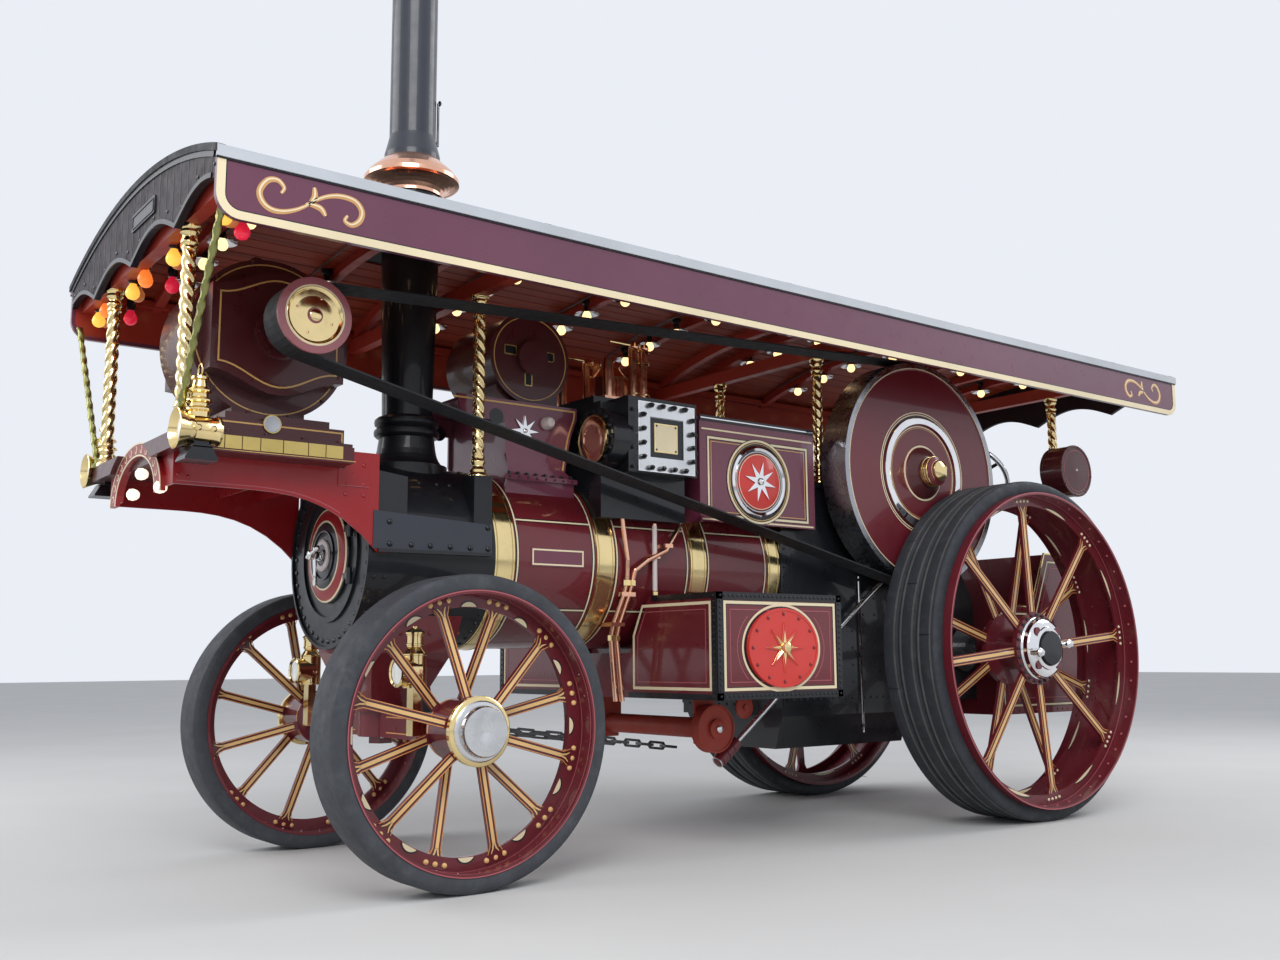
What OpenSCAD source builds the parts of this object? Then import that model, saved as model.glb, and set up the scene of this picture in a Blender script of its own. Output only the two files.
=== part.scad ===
// Showman's road locomotive: a steam traction engine with a full canopy and a front dynamo.
// Millimetres. X points forward and is written from the rear axle, Y points left, Z is up from the road.

/* [Rear wheels] */
// Diameter over the rubber
rear_wheel_d = 2040; // [1980:1:2090]
// Width of the tyre
rear_wheel_w = 440; // [400:1:445]
// Depth of rubber outside the steel rim
rear_tyre_t = 75; // [50:1:85]
// Distance between the middles of the two rear tyres
rear_track = 1900; // [1895:1:1960]
// Spokes on each of the two web rings
rear_spokes = 8; // [6:1:9]
// Radius of the rear axle
rear_axle_r = 75; // [60:1:85]

/* [Front wheels] */
// Diameter over the rubber
front_wheel_d = 1346; // [1280:1:1380]
// Width of the tyre
front_wheel_w = 232; // [200:1:250]
// Depth of rubber outside the steel rim
front_tyre_t = 70; // [50:1:80]
// Distance between the middles of the two front tyres
front_track = 1674; // [1660:1:1740]
// Number of spokes
front_spokes = 12; // [10:2:14]
// Distance from the rear axle to the front axle
wheelbase = 3815; // [3780:1:3850]
// Radius of the stub axles
front_axle_r = 42; // [36:1:48]
// Radius of the pin that the front axle turns on
perch_pin_r = 38; // [30:1:45]

/* [Boiler] */
// Height of the boiler's centre line
boiler_z = 1480; // [1460:1:1500]
// Diameter of the lagged barrel
barrel_d = 900; // [860:1:920]
// Length of the lagged barrel
barrel_len = 1900; // [1860:1:1940]
// Length of the smokebox
smokebox_len = 650; // [620:1:680]
// Front of the firebox, ahead of the rear axle
firebox_front = 1550; // [1530:1:1570]
// Length of the firebox
firebox_len = 1250; // [1200:1:1280]
// Width of the firebox
firebox_w = 880; // [840:1:900]
// Bottom of the firebox and ashpan
firebox_z = 640; // [600:1:680]
// Width of a brass boiler band
band_w = 110; // [60:1:140]
// Radius of the smokebox door
door_r = 232; // [220:1:245]

/* [Chimney] */
// Distance of the chimney behind the smokebox front
chimney_back = 390; // [370:1:410]
// Radius of the stack at its foot
stack_foot_r = 125; // [110:1:140]
// Radius of the stack at its top
stack_top_r = 154; // [140:1:165]
// Height of the rim of the copper cap
cap_z = 3460; // [3420:1:3500]
// Radius of the rim of the copper cap
cap_r = 246; // [220:1:260]
// Radius of the chimney extension
extension_r = 120; // [110:1:130]
// Height of the top of the chimney extension
extension_top = 5300; // [4900:1:5500]

/* [Dynamo] */
// Radius of the dynamo's ring frame
dynamo_r = 375; // [350:1:385]
// Width of the dynamo's ring frame
dynamo_w = 640; // [560:1:700]
// Dynamo shaft, ahead of the rear axle
dynamo_x = 4510; // [4480:1:4540]
// Height of the dynamo shaft
dynamo_z = 2438; // [2420:1:2460]
// Radius of the dynamo pulley's flanges
pulley_r = 165; // [160:1:175]
// Radius of the dynamo shaft
dynamo_shaft_r = 32; // [28:1:40]
// Height of the dynamo platform's top
platform_z = 1900; // [1880:1:1920]
// Width of the dynamo platform
platform_w = 1240; // [1200:1:1300]

/* [Motion] */
// Crankshaft, ahead of the rear axle
crank_x = 570; // [560:1:640]
// Height of the crankshaft
crank_z = 2092; // [2070:1:2100]
// Radius of the crankshaft
crank_r = 50; // [45:1:60]
// Radius of the flywheel
flywheel_r = 690; // [670:1:700]
// Width of the flywheel's rim
flywheel_w = 190; // [180:1:200]
// Outer face of the flywheel, from the centre line
flywheel_y = 716; // [700:1:718]
// Width of the driving belt
belt_w = 150; // [120:1:160]
// Thickness of the driving belt
belt_t = 8; // [6:1:12]
// Length of the cylinder block
block_len = 560; // [520:1:600]
// Front of the cylinder block, ahead of the rear axle
block_front = 2840; // [2820:1:2860]

/* [Canopy] */
// Front edge of the roof, ahead of the rear axle
canopy_front = 5095; // [5080:1:5150]
// Rear edge of the roof, behind the rear axle
canopy_rear = 1705; // [1690:1:1760]
// Width over the side boards
canopy_w = 2250; // [2200:1:2300]
// Height of the bottom of the side boards
board_z = 2641; // [2630:1:2660]
// Height of the side boards
board_h = 248; // [230:1:255]
// Thickness of the boards
board_t = 25; // [18:1:30]
// Rise of the arched roof
roof_rise = 200; // [160:1:230]
// Thickness of the roof
roof_t = 28; // [22:1:40]
// Radius of the twisted brass pillars
pillar_r = 30; // [24:1:33]

/* [Tank and tender] */
// Rear of the belly tank, ahead of the rear axle
tank_rear = 1660; // [1650:1:1680]
// Length of the belly tank
tank_len = 870; // [860:1:900]
// Width over the belly tank
tank_w = 2040; // [1980:1:2080]
// Bottom of the belly tank
tank_z = 770; // [750:1:790]
// Height of the belly tank
tank_h = 530; // [500:1:550]
// Rear of the tender, behind the rear axle
tender_rear = 1420; // [1380:1:1450]
// Front of the tender, behind the rear axle
tender_front = 200; // [180:1:220]
// Width of the tender
tender_w = 1260; // [1220:1:1280]
// Bottom of the tender
tender_z = 600; // [580:1:640]
// Height of the tender's sides
tender_h = 1060; // [1000:1:1100]
// Thickness of the tender's plates
plate_t = 10; // [8:1:14]
// Radius of the drawbar pin's hole
drawbar_pin_r = 22; // [18:1:26]

/* [Hidden] */
$fn = 48;
running = 0.3;
mid_x = (canopy_front - canopy_rear) / 2;
rear_z = rear_wheel_d / 2;
front_z = front_wheel_d / 2;
barrel_r = barrel_d / 2;
smokebox_rear = firebox_front + barrel_len;
smokebox_front = smokebox_rear + smokebox_len;
chimney_x = smokebox_front - chimney_back;
smokebox_r = barrel_r + 4;

// Shift from the rear axle to the middle of the engine's length
module placed() translate([-mid_x, 0, 0]) children();

// Turn an upright shape so that it lies along +Y or along +X
module along_y() rotate([-90, 0, 0]) children();
module along_x() rotate([0, 90, 0]) children();

// An outline drawn in X and Z, as a plate between y and y + t
module side_plate(y, t) translate([0, y + t, 0]) rotate([90, 0, 0]) linear_extrude(t) children();

// An outline drawn in Y and Z, as a plate between x and x + t
module cross_plate(x, t) translate([x, 0, 0]) rotate([90, 0, 90]) linear_extrude(t) children();

// A block between two corners
module block(a, b) translate(a) cube(b - a);

// The same piece on the left and, mirrored, on the right
module both_sides() { children(); mirror([0, 1, 0]) children(); }

// Room for the barrel or the smokebox, to cut a saddle that seats on it
module boiler_room(r) translate([0, 0, boiler_z]) along_x() cylinder(r = r, h = 2 * smokebox_front, $fn = 240);

// A round bar between two points
module bar(a, b, r) {
    d = b - a;
    len = norm(d);
    translate(a) rotate([0, acos(d[2] / len), atan2(d[1], d[0])]) cylinder(r = r, h = len);
}

/* Wheels */
web_t = 14;
rear_rim_t = 16;
front_rim_t = 14;
web_depth = 58;
rear_web_y = 115;
rear_hub_in = 225;
front_hub_in = 150;
front_beam_half = front_track / 2 - front_hub_in - 8;
front_beam_w = 110;
front_beam_h = 120;

// Section of a solid rubber tyre
module tyre_section(d, w, t) translate([d / 2 - t, -w / 2]) square([t, w]);

// Section of a steel rim with its web rings
module rim_section(r, w, t, webs) {
    translate([r - t, -w / 2]) square([t, w]);
    for (y = webs) translate([r - t - web_depth, y - web_t / 2]) square([web_depth + 1, web_t]);
}

// A flat spoke with a spread foot, from the hub at radius r0 to the web at radius r1
module spoke(r0, r1, y0, y1, w, foot_w, foot_h) {
    tilt = atan((y1 - y0) / (r1 - r0));
    len = (r1 - r0) / cos(tilt);
    spoke_t = 18;
    translate([0, y0, r0]) rotate([-tilt, 0, 0]) translate([0, spoke_t / 2, 0])
        rotate([90, 0, 0]) linear_extrude(spoke_t)
            polygon([[-w / 2, 0], [w / 2, 0], [w / 2, len - foot_h], [foot_w / 2, len],
                [-foot_w / 2, len], [-w / 2, len - foot_h]]);
}

module rear_hub() {
    bore = rear_axle_r + running;
    difference() {
        along_y() rotate_extrude() polygon([[0, -rear_hub_in], [140, -rear_hub_in], [140, -130],
            [215, -125], [215, -95], [128, -85], [128, 85], [215, 95], [215, 125], [168, 130],
            [168, 165], [106, 170], [106, 215], [96, 225], [0, 225]]);
        translate([0, -rear_hub_in - 1, 0]) along_y() cylinder(r = bore, h = rear_hub_in + 191);
    }
    for (i = [0:3]) rotate([0, i * 90 + 45, 0]) translate([0, 120, 140]) along_y() cylinder(r = 26, h = 80);
}

module rear_wheel() {
    rim_r = rear_wheel_d / 2 - rear_tyre_t;
    web_r = rim_r - rear_rim_t - 4;
    step = 360 / rear_spokes;
    along_y() rotate_extrude() rim_section(rim_r, rear_wheel_w, rear_rim_t, [-rear_web_y, rear_web_y]);
    rear_hub();
    for (i = [0:rear_spokes - 1]) {
        rotate([0, (i + 0.12) * step, 0]) spoke(130, web_r, 100, rear_web_y, 58, 150, 90);
        rotate([0, (i + 0.62) * step, 0]) spoke(130, web_r, -100, -rear_web_y, 58, 150, 90);
    }
}

module rear_tyre() along_y() rotate_extrude() tyre_section(rear_wheel_d, rear_wheel_w, rear_tyre_t);

module front_hub() {
    bore = front_axle_r + running;
    difference() {
        along_y() rotate_extrude() polygon([[0, -front_hub_in], [112, -front_hub_in], [132, -120],
            [132, 92], [148, 95], [148, 118], [104, 124], [104, 156], [95, 165], [0, 165]]);
        translate([0, -front_hub_in - 1, 0]) along_y() cylinder(r = bore, h = front_hub_in + 131);
    }
}

module front_wheel() {
    rim_r = front_wheel_d / 2 - front_tyre_t;
    web_r = rim_r - front_rim_t - 4;
    along_y() rotate_extrude() rim_section(rim_r, front_wheel_w, front_rim_t, [0]);
    front_hub();
    for (i = [0:front_spokes - 1]) rotate([0, (i + 0.5) * 360 / front_spokes, 0])
        spoke(122, web_r, i % 2 == 0 ? 68 : -105, 0, 44, 104, 60);
}

module front_tyre() along_y() rotate_extrude() tyre_section(front_wheel_d, front_wheel_w, front_tyre_t);

// A wheel that is drawn with its outer face towards +Y, set on the left or the right
module at_wheel(x, track, z, side) placed() translate([x, side * track / 2, z])
    mirror([0, side < 0 ? 1 : 0, 0]) children();

module rear_wheel_left() color([0.36, 0.07, 0.12]) at_wheel(0, rear_track, rear_z, 1) rear_wheel();
module rear_wheel_right() color([0.36, 0.07, 0.12]) at_wheel(0, rear_track, rear_z, -1) rear_wheel();
module rear_tyre_left() color([0.16, 0.17, 0.19]) at_wheel(0, rear_track, rear_z, 1) rear_tyre();
module rear_tyre_right() color([0.16, 0.17, 0.19]) at_wheel(0, rear_track, rear_z, -1) rear_tyre();
module front_wheel_left() color([0.36, 0.07, 0.12]) at_wheel(wheelbase, front_track, front_z, 1) front_wheel();
module front_wheel_right() color([0.36, 0.07, 0.12]) at_wheel(wheelbase, front_track, front_z, -1) front_wheel();
module front_tyre_left() color([0.16, 0.17, 0.19]) at_wheel(wheelbase, front_track, front_z, 1) front_tyre();
module front_tyre_right() color([0.16, 0.17, 0.19]) at_wheel(wheelbase, front_track, front_z, -1) front_tyre();

module rear_axle() color([0.45, 0.45, 0.47]) placed() translate([0, 0, rear_z]) {
    half = rear_track / 2 + 185;
    translate([0, -half, 0]) along_y() cylinder(r = rear_axle_r, h = 2 * half);
}

// Front axle
eye_y = 450;
eye_back = 95;
lug_r = 26;
lug_gap = 15;
lug_t = 10;
chain_hole_r = 9;
turntable_r = 130;
turntable_t = 16;

module front_axle() color([0.36, 0.07, 0.12]) placed() translate([wheelbase, 0, front_z]) difference() {
    union() {
        block([-front_beam_w / 2, -front_beam_half, -front_beam_h / 2],
            [front_beam_w / 2, front_beam_half, front_beam_h / 2]);
        translate([0, 0, -front_beam_h / 2]) cylinder(r = turntable_r - 20, h = front_beam_h);
        translate([0, 0, front_beam_h / 2]) cylinder(r = turntable_r, h = turntable_t);
        both_sides() {
            translate([0, front_beam_half - 1, 0]) along_y() cylinder(r = front_axle_r, h = front_hub_in + 134);
            translate([0, front_beam_half - 22, 0]) along_y() cylinder(r = 70, h = 22);
            for (z = [-lug_gap / 2 - lug_t, lug_gap / 2]) {
                block([-eye_back, eye_y - lug_r, z], [-front_beam_w / 2 + 1, eye_y + lug_r, z + lug_t]);
                translate([-eye_back, eye_y, z]) cylinder(r = lug_r, h = lug_t);
            }
            translate([-eye_back, eye_y, -lug_gap / 2 - lug_t - 6])
                cylinder(r = chain_hole_r - 0.4, h = lug_gap + 2 * lug_t + 12);
        }
    }
    translate([0, 0, -front_beam_h]) cylinder(r = perch_pin_r + running, h = 3 * front_beam_h);
}

// Perch bracket that hangs from the smokebox, with the pin through the axle
module perch_bracket() color([0.36, 0.07, 0.12]) placed() {
    seat_z = front_z + front_beam_h / 2 + turntable_t + 0.4;
    difference() {
        intersection() {
            cross_plate(wheelbase - 300, 600)
                polygon([[-360, 1250], [360, 1250], [300, 1010], [140, seat_z], [-140, seat_z], [-300, 1010]]);
            side_plate(-400, 800) polygon([[wheelbase - 260, 1250], [wheelbase + 240, 1250],
                [wheelbase + 200, 1010], [wheelbase + 120, seat_z], [wheelbase - 120, seat_z],
                [wheelbase - 220, 1010]]);
        }
        boiler_room(smokebox_r);
    }
    translate([wheelbase, 0, front_z - front_beam_h / 2 - 30])
        cylinder(r = perch_pin_r, h = seat_z - front_z + front_beam_h / 2 + 40);
    translate([wheelbase, 0, front_z - front_beam_h / 2 - 34]) cylinder(r = 62, h = 32, $fn = 6);
}

// Brass lamps on brackets in front of the axle beam
axle_lamp_y = front_beam_half - 94;
module axle_lamps() color([0.82, 0.66, 0.28]) placed() both_sides()
    translate([wheelbase + front_beam_w / 2, axle_lamp_y, front_z]) {
        block([0, -30, -30], [90, 30, 30]);
        block([50, -30, -30], [90, 30, 180]);
        translate([70, 0, 180]) cylinder(r = 52, h = 150);
        translate([70, 0, 330]) cylinder(r1 = 52, r2 = 30, h = 30);
        translate([70, 0, 360]) cylinder(r = 38, h = 60);
        translate([60, 0, 250]) along_x() cylinder(r = 62, h = 92);
    }

// Steering chains, each from its pin on the axle back and in to a place under the drum
barrel_x = 2120;
barrel_z = 600;
barrel_drum_r = 55;
chain_end_y = 250;
chain_t = 14;
chain_hole_half = 46;
chain_half_w = 22;
chain_drop = 41;
chain_end = [barrel_x, chain_end_y, barrel_z - barrel_drum_r - chain_half_w - chain_drop];
chain_pitch = 2 * chain_hole_half - 0.3;

// A six-sided link with a slot that the next link's end fills across
module chain_link() translate([0, 0, -chain_t / 2]) linear_extrude(chain_t) difference() {
    polygon([for (p = [[1.5, 0], [1, 1], [-1, 1], [-1.5, 0], [-1, -1], [1, -1]])
        [p[0] * chain_hole_half, p[1] * chain_half_w]]);
    square([2 * chain_hole_half, 2 * chain_hole_r], center = true);
}

module steering_chain(side) color([0.2, 0.2, 0.21]) placed()
    translate([wheelbase - eye_back, side * eye_y, front_z]) {
        run = [chain_end[0] - wheelbase + eye_back, side * (chain_end[1] - eye_y), chain_end[2] - front_z];
        flat_len = norm([run[0], run[1]]);
        count = floor(norm(run) / chain_pitch);
        rotate([0, 0, atan2(run[1], run[0])]) {
            translate([chain_hole_half - chain_hole_r, 0, 0]) chain_link();
            translate([chain_hole_half - chain_hole_r, 0, 0]) rotate([0, atan2(-run[2], flat_len), 0])
                for (i = [1:count - 1]) translate([i * chain_pitch, 0, 0]) rotate([i % 2 * 90, 0, 0]) chain_link();
        }
    }
module steering_chain_left() steering_chain(1);
module steering_chain_right() steering_chain(-1);

worm_wheel_r = 125;
steer_y = 500;
steer_low = [2050, steer_y, 450];
steer_top = [-250, steer_y, 2175];
module chain_barrel() color([0.62, 0.1, 0.08]) placed() {
    translate([barrel_x, -480, barrel_z]) along_y() cylinder(r = barrel_drum_r, h = 1000);
    translate([barrel_x, steer_y - 28, barrel_z]) along_y() cylinder(r = worm_wheel_r, h = 56);
    both_sides() difference() {
        block([barrel_x - 70, 420, barrel_z - 80], [barrel_x + 70, 440, tank_z]);
        translate([barrel_x - 71, 410, barrel_z - 81]) cube([20, 40, 90]);
    }
}

module steering_shaft() color([0.7, 0.7, 0.72]) placed() {
    down = (steer_low - steer_top) / norm(steer_low - steer_top);
    bar(steer_low, steer_top, 16);
    bar(steer_low + 50 * down, steer_low - 120 * down, 34);
    translate(steer_top) rotate([0, -atan2(-down[0], down[2]) + 180, 0]) {
        rotate_extrude() translate([215, 0]) circle(16, $fn = 8);
        cylinder(r = 34, h = 30, center = true);
        for (i = [0:4]) rotate([0, 0, i * 72]) translate([0, -10, -7]) cube([215, 20, 14]);
    }
    block([1180, firebox_w / 2 + plate_t, 1050], [1240, steer_y - 10, 1110]);
}

// Boiler
module boiler_barrel() color([0.36, 0.07, 0.12]) placed() translate([firebox_front, 0, boiler_z])
    along_x() cylinder(r = barrel_r, h = barrel_len);

band_x = [smokebox_rear - band_w, 2735, 2110, firebox_front + 5];
module boiler_bands() color([0.85, 0.7, 0.3]) placed() translate([0, 0, boiler_z])
    for (x = band_x) translate([x, 0, 0]) along_x() difference() {
        cylinder(r = barrel_r + 6, h = x == band_x[3] ? band_w - 20 : band_w);
        translate([0, 0, -1]) cylinder(r = barrel_r, h = band_w + 2);
    }

smokebox_t = 20;
module smokebox() color([0.1, 0.11, 0.13]) placed() {
    translate([smokebox_rear, 0, boiler_z]) along_x() difference() {
        cylinder(r = smokebox_r, h = smokebox_len);
        translate([0, 0, smokebox_t]) cylinder(r = smokebox_r - smokebox_t, h = smokebox_len - 2 * smokebox_t);
        translate([boiler_z - door_z, 0, smokebox_len / 2]) cylinder(r = door_r - 22, h = smokebox_len);
    }
    both_sides() difference() {
        block([smokebox_rear + 60, smokebox_r - 60, arm_low], [smokebox_front, smokebox_r + 8, arm_low + 130]);
        boiler_room(smokebox_r - 1);
    }
    both_sides() difference() {
        block([pillar_x[1] - 50, 330, 1600], [pillar_x[1] + 50, 450, pillar_foot[1]]);
        boiler_room(smokebox_r - 1);
    }
}

door_z = boiler_z - 4;
door_hinge_y = door_r + 30;
module smokebox_door() color([0.62, 0.12, 0.14]) placed() translate([smokebox_front, 0, door_z]) {
    translate([0.5, 0, 0]) along_x() rotate_extrude() polygon([[0, 0], [door_r, 0], [door_r, 10],
        [door_r - 34, 22], [door_r - 90, 30], [60, 36], [0, 38]]);
    translate([30, 0, 0]) along_x() cylinder(r = 24, h = 62);
    block([72, -10, -110], [86, 10, 10]);
    block([58, -100, -9], [72, 10, 9]);
    for (z = [-110, 110]) block([10, 60, z - 14], [26, door_hinge_y, z + 14]);
    for (z = [-110, 110]) translate([20, door_hinge_y, z - 22]) cylinder(r = 13, h = 44);
}

module firebox() color([0.12, 0.12, 0.13]) placed() {
    rear = firebox_front - firebox_len;
    cross_plate(rear, firebox_len) union() {
        translate([0, boiler_z]) circle(firebox_w / 2);
        translate([-firebox_w / 2, firebox_z]) square([firebox_w, boiler_z - firebox_z]);
    }
    cross_plate(rear + 80, firebox_len - 160)
        polygon([[-360, firebox_z + 1], [360, firebox_z + 1], [300, firebox_z - 190], [-300, firebox_z - 190]]);
    translate([rear - 24, 0, boiler_z - 330]) along_x() cylinder(r = 190, h = 25);
}

crank_bearing_r = 95;
module hornplates() color([0.12, 0.12, 0.13]) placed() both_sides() difference() {
    union() {
        side_plate(firebox_w / 2, plate_t) polygon([[-tender_front, 700], [-tender_front, 1330],
            [-60, 1560], [250, 1720], [crank_x - 230, crank_z - 20], [crank_x - 140, crank_z + 110],
            [crank_x + 140, crank_z + 110], [crank_x + 230, crank_z - 20], [pillar_x[2] - 100, pillar_foot[2]],
            [pillar_x[2] + 90, pillar_foot[2]], [panel_rear - running, 1850], [panel_rear - running, panel_low],
            [firebox_front - 30, panel_low], [firebox_front, panel_low - 25], [firebox_front, 700]]);
        translate([crank_x, firebox_w / 2 - 20, crank_z]) along_y() cylinder(r = crank_bearing_r, h = 75);
        translate([0, firebox_w / 2 - 20, rear_z]) along_y() cylinder(r = 140, h = 110);
        block([pillar_x[2] - 40, firebox_w / 2 - 35, pillar_foot[2] - 30],
            [pillar_x[2] + 40, firebox_w / 2 + 45, pillar_foot[2]]);
    }
    translate([crank_x, 0, crank_z]) along_y() cylinder(r = crank_r + running, h = 2000);
    translate([0, 0, rear_z]) along_y() cylinder(r = rear_axle_r, h = 2000);
}

// Chimney
chimney_join_z = cap_z - 100;
chimney_foot_z = boiler_z + smokebox_r;
chimney_bead_z = chimney_foot_z + 150;
module chimney() color([0.09, 0.1, 0.12]) placed() difference() {
    translate([chimney_x, 0, 0]) rotate_extrude() polygon(concat(
        [[0, chimney_foot_z - 80], [205, chimney_foot_z - 80]],
        [for (a = [0:15:75]) [205 - 60 * sin(a), chimney_foot_z + 6 + 110 * (1 - cos(a))]],
        [[stack_foot_r + 13, chimney_bead_z]],
        [for (k = [0, 1], p = [[28, 4], [38, 14], [40, 26], [38, 38], [28, 48], [20, 52]])
            [stack_foot_r + p[0] - 2 * k, chimney_bead_z + p[1] + 54 * k]],
        [[stack_foot_r + 1, chimney_bead_z + 112], [stack_top_r, chimney_join_z], [0, chimney_join_z]]));
    boiler_room(smokebox_r);
}

cap_top_z = cap_z + 100;
module chimney_cap() color([0.78, 0.42, 0.25]) placed() translate([chimney_x, 0, 0]) rotate_extrude() polygon(concat(
    [[0, chimney_join_z], [stack_top_r, chimney_join_z]],
    [for (a = [0:15:75]) [cap_r - (cap_r - stack_top_r) * cos(a), chimney_join_z + 80 * sin(a)]],
    [[cap_r, cap_z - 20], [cap_r, cap_z]],
    [for (a = [15:15:90]) [extension_r + 30 + (cap_r - extension_r - 30) * (1 - sin(a)), cap_top_z - 88 * (1 - sin(a))]],
    [[0, cap_top_z]]));

module chimney_extension() color([0.16, 0.17, 0.19]) placed() translate([chimney_x, 0, 0]) difference() {
    rotate_extrude() polygon([[0, cap_top_z], [extension_r + 24, cap_top_z], [extension_r + 24, cap_top_z + 30],
        [extension_r + 4, cap_top_z + 110], [extension_r, cap_top_z + 130], [extension_r, extension_top - 60],
        [extension_r + 14, extension_top - 50], [extension_r + 14, extension_top], [0, extension_top]]);
    translate([0, 0, extension_top - 600]) cylinder(r = extension_r - 10, h = 601);
}

// Dynamo and its bracket on the front of the smokebox
bracket_y = smokebox_r + 8.3;
bracket_t = 12;
bracket_front = 5000;
bracket_low_z = 1702;
deck_t = 70;
sweep_start = 4740;
sweep = 0.00000084;
arm_low = 1478;
module bracket_outline() polygon(concat(
    [[bracket_front, platform_z - deck_t], [bracket_front, bracket_low_z]],
    [for (i = [0:8]) let (x = sweep_start - i * (sweep_start - smokebox_front + 20) / 8)
        [x, bracket_low_z - sweep * pow(sweep_start - x, 3)]],
    [[smokebox_rear + 35, arm_low], [smokebox_rear + 35, arm_low + 140], [smokebox_front - 20, arm_low + 173],
        [smokebox_front - 20, platform_z + 10], [smokebox_front + 130, platform_z + 10],
        [smokebox_front + 150, platform_z - deck_t]]));

module arch_outline(half, rise) polygon([for (a = [0:15:180]) [half * cos(a), bracket_low_z - 20 + rise * sin(a)]]);

module dynamo_bracket() color([0.62, 0.09, 0.12]) placed() {
    both_sides() side_plate(bracket_y, bracket_t) bracket_outline();
    difference() {
        cross_plate(bracket_front - 12, 12) translate([-bracket_y - 1, bracket_low_z])
            square([2 * bracket_y + 2, platform_z - deck_t - bracket_low_z]);
        cross_plate(bracket_front - 20, 40) arch_outline(300, 190);
    }
    cross_plate(bracket_front, 20) difference() {
        arch_outline(385, 250);
        arch_outline(300, 190);
    }
    for (x = [smokebox_front + 200, 4500]) block([x, -bracket_y - 1, platform_z - deck_t - 60],
        [x + 12, bracket_y + 1, platform_z - deck_t]);
}

module dynamo_platform() color([0.3, 0.08, 0.1]) placed() difference() {
    block([smokebox_front + 170, -platform_w / 2, platform_z - deck_t], [bracket_front + 50, platform_w / 2, platform_z]);
    cross_plate(bracket_front - 1, 52) arch_outline(386, 251);
}

base_steps = [[-330, 350, 400, 55], [-295, 290, 380, 120], [-240, 240, 340, 158]];
base_foot_top = platform_z + 240;
module dynamo_base() color([0.34, 0.09, 0.12]) placed() difference() {
    union() {
        for (step = base_steps) block([dynamo_x + step[0], -step[2], platform_z],
            [dynamo_x + step[1], step[2], platform_z + step[3]]);
        for (x = [dynamo_x - 170, dynamo_x + 80])
            block([x, -dynamo_w / 2 + 110, platform_z], [x + 90, dynamo_w / 2 - 110, base_foot_top]);
    }
    translate([dynamo_x, -1000, dynamo_z]) along_y() cylinder(r = dynamo_r, h = 2000);
}

// Outline of the shaped end panels, whose top and bottom edges swell in a wave
panel_half = 310;
panel_drop = 190;
panel_rise = 195;
panel_wave = 90;
function wave(i) = panel_wave * pow(sin(i * 180 / 14), 2);
module panel_outline() polygon(concat(
    [for (i = [0:14]) [dynamo_x + panel_half - i * panel_half / 7, dynamo_z - panel_drop - wave(i)]],
    [for (i = [0:14]) [dynamo_x - panel_half + i * panel_half / 7, dynamo_z + panel_rise + wave(i)]]));

module dynamo_frame() color([0.34, 0.07, 0.12]) placed() difference() {
    union() {
        translate([dynamo_x, -dynamo_w / 2 + 110, dynamo_z]) along_y() cylinder(r = dynamo_r, h = dynamo_w - 220);
        side_plate(-dynamo_w / 2, dynamo_w) panel_outline();
        translate([dynamo_x, -dynamo_w / 2 - 60, dynamo_z]) along_y() cylinder(r = 80, h = dynamo_w + 120);
    }
    translate([dynamo_x, dynamo_w / 2 - 120, dynamo_z]) along_y() cylinder(r = dynamo_shaft_r + running, h = 400);
}

belt_mid_y = flywheel_y - flywheel_w / 2;
module dynamo_pulley() color([0.4, 0.1, 0.14]) placed() translate([dynamo_x, belt_mid_y - 100, dynamo_z]) along_y() {
    rotate_extrude() polygon([[0, 0], [pulley_r - 14, 0], [pulley_r - 12, 20], [pulley_r - 12, 180],
        [pulley_r, 184], [pulley_r, 200], [135, 200], [128, 186], [40, 192], [30, 205], [0, 206]]);
    translate([0, 0, dynamo_w / 2 + 100 - belt_mid_y - 118]) cylinder(r = dynamo_shaft_r, h = belt_mid_y - dynamo_w / 2 + 20);
}

// Brass lamps beside the platform: a bell in front, a ribbed chimney above, a black foot below
lamp_out = 80;
lamp_y = platform_w / 2 + lamp_out;
lamp_profile = [[0, -93], [44, -93], [58, -86], [62, -76], [56, -66], [54, 22], [62, 30], [66, 46], [82, 84],
    [82, 92], [72, 92], [40, 70], [0, 64]];
lamp_stack = [[0, 40], [42, 40], [42, 70], [50, 80], [36, 94], [36, 104], [50, 114], [34, 128], [34, 140], [46, 150],
    [28, 166], [26, 200], [35, 206], [33, 216], [0, 224]];
module front_lamps() color([0.82, 0.66, 0.28]) placed() both_sides()
    translate([bracket_front - 20, lamp_y, platform_z - deck_t + 62]) {
        side_plate(running - lamp_out, 122) polygon([[-76, -125], [56, -125], [26, -72], [-52, -72]]);
        block([-52, -lamp_out - 50, -74], [26, 42, -62 - running]);
        block([-44, -26, -73], [22, 26, -40]);
        along_x() rotate_extrude() polygon(lamp_profile);
        rotate_extrude() polygon(lamp_stack);
    }

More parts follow.
